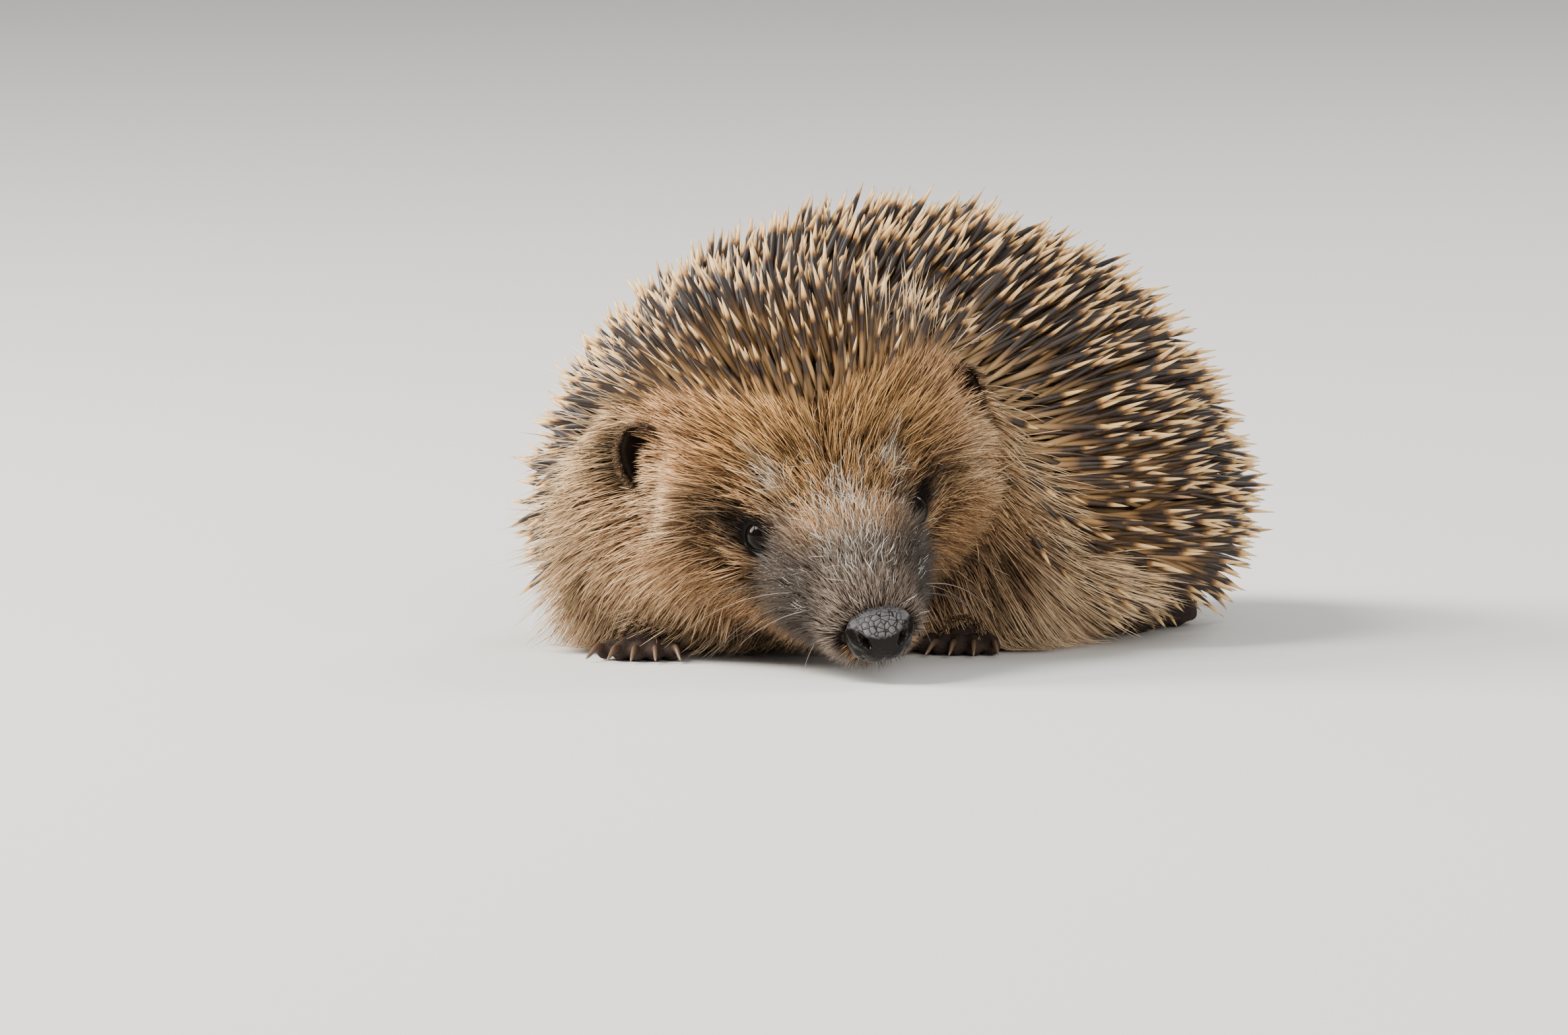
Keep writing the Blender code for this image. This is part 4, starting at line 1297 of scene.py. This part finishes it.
def spine_roots(hide, draw):
    """Evenly spaced roots over the mantle."""
    fringe = 0.6 * smooth(hide.lean, -20.0, -8.0) * window(hide.where, 110.0, 114.0, 123.0, 127.0)
    mantle = smooth(hide.lean, -3.0, 4.0) * fading(hide.where, 125.0, 127.0)
    weight = np.maximum(mantle, fringe) * smooth(beside_ear(hide.place), 1.15, 1.4)
    found = hide.roots(weight, SPINE_TRIES, draw)
    place = found["place"]
    order = draw.permutation(len(place))
    tree = tree_of(place)
    free = np.ones(len(place), bool)
    chosen = []
    for number in order:
        if free[number]:
            chosen.append(number)
            room = 1.25 + 0.30 * smooth(-found["where"][number], -112.0, -80.0)
            room = room + 0.55 * smooth(-found["lean"][number], 0.0, 10.0)
            near_by = tree.find_range(Vector(place[number]), float(room))
            free[[other for spot, other, gap in near_by]] = False
    return pick(found, np.array(chosen))


def pick(roots, chosen):
    """Some of the roots."""
    return {name: values[chosen] for name, values in roots.items()}


def build_spines(hide, finish):
    """The mantle of spines, in pieces from front to back."""
    draw = np.random.default_rng(SPINE_SEED)
    roots = spine_roots(hide, draw)
    for name, start, end in SPINE_PIECES:
        part = pick(roots, (roots["where"] > start) & (roots["where"] <= end))
        fringe = fading(part["lean"], 0.0, 16.0)
        brow = smooth(part["where"], 106.0, 122.0)
        length = SPINE_LENGTH * (1.0 - 0.15 * fringe) * (1.0 - 0.22 * brow)
        width = SPINE_RADIUS * 2.0 * (1.0 - 0.15 * brow)
        width = width * (0.72 + 0.28 * smooth(part["lean"], -12.0, 2.0))
        down = 0.5 * fading(part["lean"], 2.0, 24.0) * (1.0 - brow)
        grow(name, finish, part, draw, length, width, SPINE_LIFT + 8.0 * brow,
             SPINE_LIFT + 4.0 * brow, down=down, stray=10.0, profile=SPINY, sides=6, slot="spines")


def sown(hide, name, weight):
    """The roots of a piece of fur, and the draw that goes on to shape its hairs."""
    seed, count = FUR[name]
    draw = np.random.default_rng(seed)
    return hide.roots(weight, count, draw), draw


def muzzle_fur(hide, ground, finish):
    """Short hair over the muzzle, more upright towards the nose and longer along the lips."""
    weight = ground * smooth(hide.where, 142.0, 147.0)
    weight = weight * (0.45 + 0.55 * smooth(hide.spot[..., 2], -10.0, -4.0))
    roots, draw = sown(hide, "fur_muzzle", weight)
    nearing = smooth(roots["where"], 146.0, 159.0)
    low = smooth(-roots["spot"][:, 2], 1.5, 6.5)
    beside = smooth(np.abs(roots["spot"][:, 1]), 3.5, 7.0) * (1.0 - 0.6 * nearing)
    length = (5.0 - 2.0 * nearing) * (1.0 + 0.6 * low) * (1.0 + 0.4 * beside * (1.0 - low))
    grow("fur_muzzle", finish, roots, draw, length, 0.105,
         32.0 + 26.0 * nearing + 14.0 * low * (1.0 - nearing) + 10.0 * beside,
         18.0 + 14.0 * nearing + 16.0 * low + 12.0 * beside,
         down=0.5 * low, stray=18.0, gather=0.4, each=4, profile=STRAIGHT)


def face_fur(hide, ground, finish):
    """The hair round the eyes, much shorter close to them."""
    weight = ground * window(hide.where, 124.0, 129.0, 144.0, 148.0)
    weight = weight * (0.5 + 0.5 * smooth(hide.spot[..., 2], -12.0, -6.0))
    roots, draw = sown(hide, "fur_face", weight)
    short = near(roots["spot"], (26.5, 11.6, -1.5), (8.0, 5.5, 4.6), 0.35)
    nearing = smooth(roots["where"], 128.0, 146.0)
    length = (7.8 - 3.0 * nearing) * (1.0 - 0.74 * short)
    grow("fur_face", finish, roots, draw, length, 0.14, 28.0 - 8.0 * short, 15.0 - 5.0 * short,
         sideways=0.25, stray=15.0, gather=0.45, each=4)


def jowl_fur(hide, ground, finish):
    """The longer hair under the cheeks and the chin."""
    weight = ground * window(hide.where, 120.0, 126.0, 150.0, 156.0)
    weight = weight * smooth(-hide.spot[..., 2], 6.0, 10.0)
    roots, draw = sown(hide, "fur_jowls", weight)
    length = 11.0 - 4.5 * smooth(roots["where"], 132.0, 154.0)
    grow("fur_jowls", finish, roots, draw, length, 0.17, 46.0, 26.0, down=0.5, sag=0.15,
         stray=15.0, gather=0.4, each=4, profile=STRAIGHT)


def pale_fur(hide, ground, finish):
    """Fine pale curly hairs over the bridge of the nose, the brows and the dark streak."""
    spot = hide.spot
    weight = near(spot, (33.0, 0.0, 4.5), (8.5, 5.5, 5.0), 0.6)
    weight = weight + 1.6 * near(spot, (20.6, 8.2, 5.2), (1.9, 1.2, 1.5))
    weight = weight + 0.9 * near(spot, (33.5, 9.0, -3.0), (7.0, 3.2, 4.2), 0.6)
    weight = weight + 0.14 * near(spot, (18.0, 5.0, 8.0), (8.0, 7.0, 6.0))
    weight = weight + 0.02 * smooth(hide.where, 124.0, 130.0)
    weight = weight * (1.0 - near(spot, (24.5, 12.4, -1.0), (8.5, 5.4, 5.0), 0.2))
    roots, draw = sown(hide, "fur_pale", weight * ground)
    grow("fur_pale", finish, roots, draw, 4.6, 0.075, 36.0, 20.0, sideways=0.2, stray=34.0,
         curl=0.42, turns=0.7, profile=WAVY)


def forehead_fur(hide, ground, finish):
    """The hair between the ears, shorter at the edge of the spines and by the ears."""
    weight = ground * window(hide.where, 104.0, 108.0, 130.0, 135.0)
    weight = weight * smooth(hide.spot[..., 2], -4.0, 1.0) * fading(hide.lean, -1.0, 4.0)
    roots, draw = sown(hide, "fur_forehead", weight)
    by_ear = near(roots["spot"], *BY_EAR)
    edge = smooth(roots["lean"], -20.0, -2.0)
    behind = fading(roots["where"], 109.0, 116.0)
    length = (11.0 - 5.8 * edge) * (1.0 - 0.48 * by_ear) * (1.0 - 0.45 * behind)
    grow("fur_forehead", finish, roots, draw, length, 0.18, 30.0 - 6.0 * edge,
         16.0 - 4.0 * edge, sideways=0.3, stray=12.0, gather=0.5, each=4)


def cheek_fur(hide, ground, finish, side):
    """The hair from the cheek to the shoulder on one side."""
    weight = ground * window(hide.where, 92.0, 98.0, 127.0, 132.0)
    weight = weight * fading(hide.spot[..., 2], 0.0, 4.0)
    weight = weight * (0.35 + 0.65 * smooth(hide.place[..., 2], 6.0, 14.0))
    roots, draw = sown(hide, "fur_cheek_" + side, weight)
    by_ear = near(roots["spot"], *BY_EAR)
    low = fading(roots["place"][:, 2], 12.0, 26.0)
    edge = smooth(roots["lean"], -30.0, -8.0)
    rear = fading(roots["where"], 104.0, 118.0)
    length = (13.0 + 4.0 * low + 3.0 * rear) * (1.0 - 0.48 * by_ear) * (1.0 - 0.45 * edge)
    grow("fur_cheek_" + side, finish, roots, draw, length, 0.20,
         28.0 + 10.0 * low + 8.0 * rear, 12.0 + 10.0 * low + 8.0 * rear, sideways=0.3,
         down=0.25 + 2.2 * low * (1.0 - 0.5 * rear), stray=12.0, sag=0.1, gather=0.5, each=5)


def skirt_fur(hide, ground, finish, side):
    """The long fringe of hair below the spines of one flank."""
    weight = ground * fading(hide.where, 98.0, 106.0) * smooth(hide.lean, -64.0, -34.0)
    weight = weight * (1.0 - 0.5 * smooth(hide.lean, -18.0, -4.0))
    roots, draw = sown(hide, "fur_skirt_" + side, weight)
    low = fading(roots["place"][:, 2], 14.0, 26.0)
    edge = smooth(roots["lean"], -28.0, -6.0)
    flare = smooth(roots["where"], 62.0, 78.0)
    grow("fur_skirt_" + side, finish, roots, draw, 21.0 * (1.0 - 0.6 * edge), 0.23,
         36.0 - 14.0 * edge + 18.0 * flare, 16.0 - 6.0 * edge + 26.0 * flare, sideways=0.3,
         down=0.45 + 0.8 * low - 0.5 * flare, stray=13.0, sag=0.25 - 0.15 * flare, gather=0.5,
         each=6)


def ruff_fur(hide, ground, finish, side):
    """Single long pale hairs among the lowest spines of one side."""
    weight = ground * window(hide.lean, -18.0, -6.0, 4.0, 11.0)
    weight = weight * window(hide.where, 62.0, 74.0, 112.0, 118.0)
    weight = weight * (1.0 - 0.8 * smooth(hide.place[..., 2], 36.0, 46.0))
    roots, draw = sown(hide, "fur_ruff_" + side, weight)
    grow("fur_ruff_" + side, finish, roots, draw, 19.0, 0.20, 38.0, 24.0, sideways=0.1,
         stray=14.0, gather=0.2)


def build_fur(hide):
    """The fur, piece by piece, by the part of the body that it covers."""
    ground = open_ground(hide)
    bare = fading(hide.lean, -1.0, 3.0)
    coat = fur_finish("fur_by_place")
    long_coat = fur_finish("long_fur_by_place", None, 0.24, 0.16, 0.45)
    pale = fur_finish("fur_off_white", OFF_WHITE, 0.0, 0.72)
    ruff_coat = fur_finish("fur_of_ruff", (0.92, 0.66, 0.40), 0.15, 0.25)
    muzzle_fur(hide, ground, coat)
    face_fur(hide, ground, coat)
    jowl_fur(hide, ground, coat)
    pale_fur(hide, ground, pale)
    forehead_fur(hide, ground, coat)
    for side, sign in SIDES.items():
        own = np.cos(hide.angle) > 0.0
        own = own if sign > 0 else ~own
        cheek_fur(hide, own * ground * bare, long_coat, side)
        skirt_fur(hide, own * bare, long_coat, side)
        ruff_fur(hide, own * ground, ruff_coat, side)
    weight = smooth(-hide.out[..., 2], 0.2, 0.6) * fading(hide.where, 122.0, 128.0)
    roots, draw = sown(hide, "fur_belly", weight)
    grow("fur_belly", coat, roots, draw, 9.5, 0.25, 44.0, 30.0, stray=16.0, profile=STRAIGHT)


def tube_roots(start, end, start_radius, end_radius, count, draw, low_chart):
    """Roots on a tapering limb, their hair lying towards its end."""
    t, angle = draw.random(count), draw.uniform(0.0, ROUND, count)
    axis = unit(end - start)
    level = unit(np.cross(axis, (0.3, 0.2, 0.9)))
    other = np.cross(axis, level)
    out = np.cos(angle)[:, None] * level + np.sin(angle)[:, None] * other
    radius = (start_radius + (end_radius - start_radius) * t**0.7)[:, None]
    place = start + (end - start) * t[:, None] + out * radius
    chart = np.stack([low_chart + 0.15 * angle / ROUND, 0.01 + 0.10 * t], axis=-1)
    return dict(place=place, out=out, back=np.broadcast_to(axis, out.shape),
                aside=np.broadcast_to(level, out.shape), chart=chart)


def merged(groups):
    """Several groups of roots as one."""
    return {name: np.concatenate([group[name] for group in groups]) for name in groups[0]}


def build_limb_fur(limbs):
    """Short fur on the legs, the backs of the feet and the tail."""
    draw = np.random.default_rng(LIMB_SEED)
    groups = []
    for number, limb in enumerate(limbs):
        sizes = limb.sizes
        ankle, toe = limb.above(4.6, -0.40), limb.above(3.0, 1.0)
        chart = 0.02 + 0.19 * number
        groups.append(tube_roots(limb.top, ankle, sizes["top"] * 0.94, sizes["ankle"] * 0.94,
                                 LEG_HAIRS, draw, chart))
        groups.append(tube_roots(ankle, toe, sizes["ankle"] * 0.9, sizes["half_width"] * 0.62,
                                 FOOT_HAIRS, draw, chart))
    ahead = bearing(TAIL_TURN, -TAIL_DROP, 0)[0]
    end = TAIL_ROOT - ahead * TAIL_LENGTH * 0.96
    groups.append(tube_roots(TAIL_ROOT, end, 2.0, 1.0, TAIL_HAIRS, draw, 0.80))
    coat = fur_finish("fur_of_limbs", (0.40, 0.26, 0.155), 0.3, 0.4)
    grow("fur_limbs", coat, merged(groups), draw, 3.6, 0.16, 22.0, 10.0, stray=14.0,
         profile=STRAIGHT)


def build_bristles():
    """Short stiff hairs in a fringe under the nose pad."""
    draw = np.random.default_rng(BRISTLE_SEED)
    f, l, u = HEAD_AXES
    angle = np.radians(draw.uniform(196.0, 344.0, BRISTLES))[:, None]
    radial = np.cos(angle) * l * NOSE_HALF_WIDTH + np.sin(angle) * u * NOSE_HALF_HEIGHT
    place = on_head(*NOSE_PLACE) + radial * draw.uniform(0.84, 0.93, BRISTLES)[:, None]
    place = place + f * draw.uniform(-0.8, 1.2, BRISTLES)[:, None]
    chart = np.stack([0.90 + 0.05 * draw.random(BRISTLES), 0.06 + 0.02 * draw.random(BRISTLES)],
                     axis=-1)
    roots = dict(place=place, out=unit(radial), back=np.broadcast_to(f, place.shape),
                 aside=radial, chart=chart)
    horn = fur_finish("fur_of_bristles", (0.62, 0.36, 0.18), 0.2, 0.5)
    grow("fur_bristles", horn, roots, draw, 2.6, 0.12, 66.0, 74.0, stray=14.0, profile=STRAIGHT)


def build_ear_fur():
    """Short hair on the backs and rims of the ears."""
    draw = np.random.default_rng(EAR_SEED)
    groups = []
    for sign in SIDES.values():
        opens, wide, high = ear_axes(sign)
        rim = ear_middle(sign) + opens * EAR_RIM_OUT
        turn = np.radians(91.0 - 55.0 * draw.random(EAR_HAIRS)**2.2)
        angle = draw.uniform(0.0, ROUND, EAR_HAIRS)
        c, s = np.cos(angle)[:, None], np.sin(angle)[:, None]
        ring = wide * c * EAR_WIDTH / 2.0 + high * s * EAR_HEIGHT / 2.0
        place = rim - opens * EAR_DEPTH * np.cos(turn)[:, None] + ring * np.sin(turn)[:, None]
        out = unit(ring * np.sin(turn)[:, None] - opens * np.cos(turn)[:, None] * 5.0)
        chart = np.stack([0.80 + 0.06 * (sign + 1.0) + 0.05 * angle / 6.3, 0.06 + 0.05 * turn],
                         axis=-1)
        groups.append(dict(place=place, out=out, back=np.broadcast_to(opens, out.shape),
                           aside=np.broadcast_to(wide, out.shape), chart=chart))
    coat = fur_finish("fur_of_ears", (0.34, 0.22, 0.13), 0.3, 0.30)
    grow("fur_ears", coat, merged(groups), draw, 2.8, 0.13, 10.0, 4.0, stray=22.0,
         profile=STRAIGHT)


# Whiskers: how far ahead, to the side and above they root, then the way they leave the face,
# ahead, to the side and above, and their length.
WHISKERS = (
    (43.0, 5.6, -1.6, -0.35, 1.0, 0.00, 22.0), (42.0, 6.2, -2.8, -0.45, 1.0, -0.18, 27.0),
    (40.5, 6.6, -1.2, -0.60, 1.0, 0.10, 25.0), (40.0, 6.9, -3.6, -0.62, 1.0, -0.30, 30.0),
    (38.5, 7.2, -2.2, -0.80, 1.0, -0.08, 31.0), (38.0, 7.2, -4.8, -0.75, 1.0, -0.45, 27.0),
    (36.5, 7.8, -3.4, -0.95, 1.0, -0.22, 33.0), (42.5, 4.6, -4.4, -0.20, 0.8, -0.60, 18.0),
    (35.5, 7.6, -5.6, -1.00, 0.9, -0.50, 26.0),
)


def build_whiskers(finish):
    """The whiskers of the muzzle, curving back and down."""
    draw = np.random.default_rng(WHISKER_SEED)
    place, way, length = [], [], []
    for ahead, aside, above, forth, side_way, up_way, long in WHISKERS:
        for sign in SIDES.values():
            place.append(on_head(ahead, aside * sign, above))
            way.append(head_way((forth, side_way, up_way), sign))
            length.append(long * (1.0 if sign < 0 else 0.78))
    place, way = np.array(place), np.array(way)
    out = unit(way + draw.normal(0.0, 0.06, way.shape))
    back = unit(DOWN - HEAD_AXES[0] * 0.3 + draw.normal(0.0, 0.08, way.shape))
    chart = np.stack([np.linspace(0.90, 0.97, len(place)), np.full(len(place), 0.03)], axis=-1)
    roots = dict(place=place, out=out, back=back, aside=out, chart=chart)
    profile = tuple((t, 1.0 - 0.75 * t) for t in np.linspace(0.0, 0.93, 11))
    grow("whiskers", finish, roots, draw, np.array(length), 0.13, 84.0, 44.0, stray=4.0,
         sag=0.1, profile=profile, sides=5)


# ---------------------------------------------------------------- floor, light and camera

FLOOR_REACH = 30.0 / MM
LAMP_AIM = Vector((0.0, -0.03, 0.03))
# Each lamp: its name, place, size, power and colour.
LAMPS = (
    ("key_light", (-0.65, -1.05, 1.45), 0.8, 48.0, (1.0, 0.95, 0.88)),
    ("fill_light", (1.5, -0.9, 0.7), 1.4, 26.0, (1.0, 0.97, 0.92)),
    ("side_light", (-1.25, -0.62, 0.78), 0.9, 52.0, (1.0, 0.95, 0.88)),
    ("back_light", (0.2, 1.5, 1.5), 1.0, 22.0, (1.0, 0.98, 0.95)),
)
ROOM_COLOUR = (0.86, 0.88, 0.90, 1.0)
ROOM_LIGHT = 0.55


def area_light(name, place, size, power, colour):
    """A soft round lamp."""
    lamp = bpy.data.lights.new(name, "AREA")
    lamp.shape = "DISK"
    lamp.size = size
    lamp.energy = power
    lamp.color = colour
    made = bpy.data.objects.new(name, lamp)
    made.location = place
    made.rotation_euler = (LAMP_AIM - Vector(place)).to_track_quat("-Z", "Y").to_euler()
    bpy.context.scene.collection.objects.link(made)


def build_stage():
    """A plain pale floor, soft studio light and a pale room."""
    corners = np.array(((-1, -1, 0), (1, -1, 0), (1, 1, 0), (-1, 1, 0))) * FLOOR_REACH
    finish = Finish("pale_floor")
    cloud = finish.noise(finish.here(), 400.0, 2.0)
    colour = finish.mix(cloud, (0.66, 0.655, 0.64), (0.69, 0.685, 0.67))
    floor = make_object("floor", corners, [(0, 1, 2, 3)], finish.done(colour, 0.8))
    for lamp in LAMPS:
        area_light(*lamp)
    world = bpy.data.worlds.new("pale_room")
    world.use_nodes = True
    background = world.node_tree.nodes["Background"]
    background.inputs["Color"].default_value = ROOM_COLOUR
    background.inputs["Strength"].default_value = ROOM_LIGHT
    bpy.context.scene.world = world


CAMERA_AIM = (0.00964, -0.0510, 0.0241)
CAMERA_SIDE = 34.0
CAMERA_RISE = 5.0
CAMERA_AWAY = 2.177
CAMERA_LENS = 300.0
CAMERA_FILM = 36.0


def build_camera():
    """A long lens a little above the floor, to the animal's left of its front."""
    side, rise = math.radians(CAMERA_SIDE), math.radians(CAMERA_RISE)
    level = math.cos(rise)
    back = Vector((math.sin(side) * level, -math.cos(side) * level, math.sin(rise)))
    lens = bpy.data.cameras.new("camera")
    lens.lens = CAMERA_LENS
    lens.sensor_width = CAMERA_FILM
    lens.clip_end = 100.0
    camera = bpy.data.objects.new("camera", lens)
    camera.location = Vector(CAMERA_AIM) + back * CAMERA_AWAY
    camera.rotation_euler = (-back).to_track_quat("-Z", "Y").to_euler()
    bpy.context.scene.collection.objects.link(camera)
    bpy.context.scene.camera = camera


loft = Loft()
hide = Hide(loft)
limbs = [Limb(*row) for row in LIMBS]
build_skin(loft, limbs, skin_finish())
eye_look = eye_finish()
for side, sign in SIDES.items():
    build_eye(side, sign, eye_look)
build_nose(nose_finish())
horn = claw_finish()
for limb in limbs:
    build_claws(limb, horn)
build_spines(hide, spine_finish())
build_fur(hide)
build_limb_fur(limbs)
build_bristles()
build_ear_fur()
build_whiskers(whisker_finish())
build_stage()
build_camera()
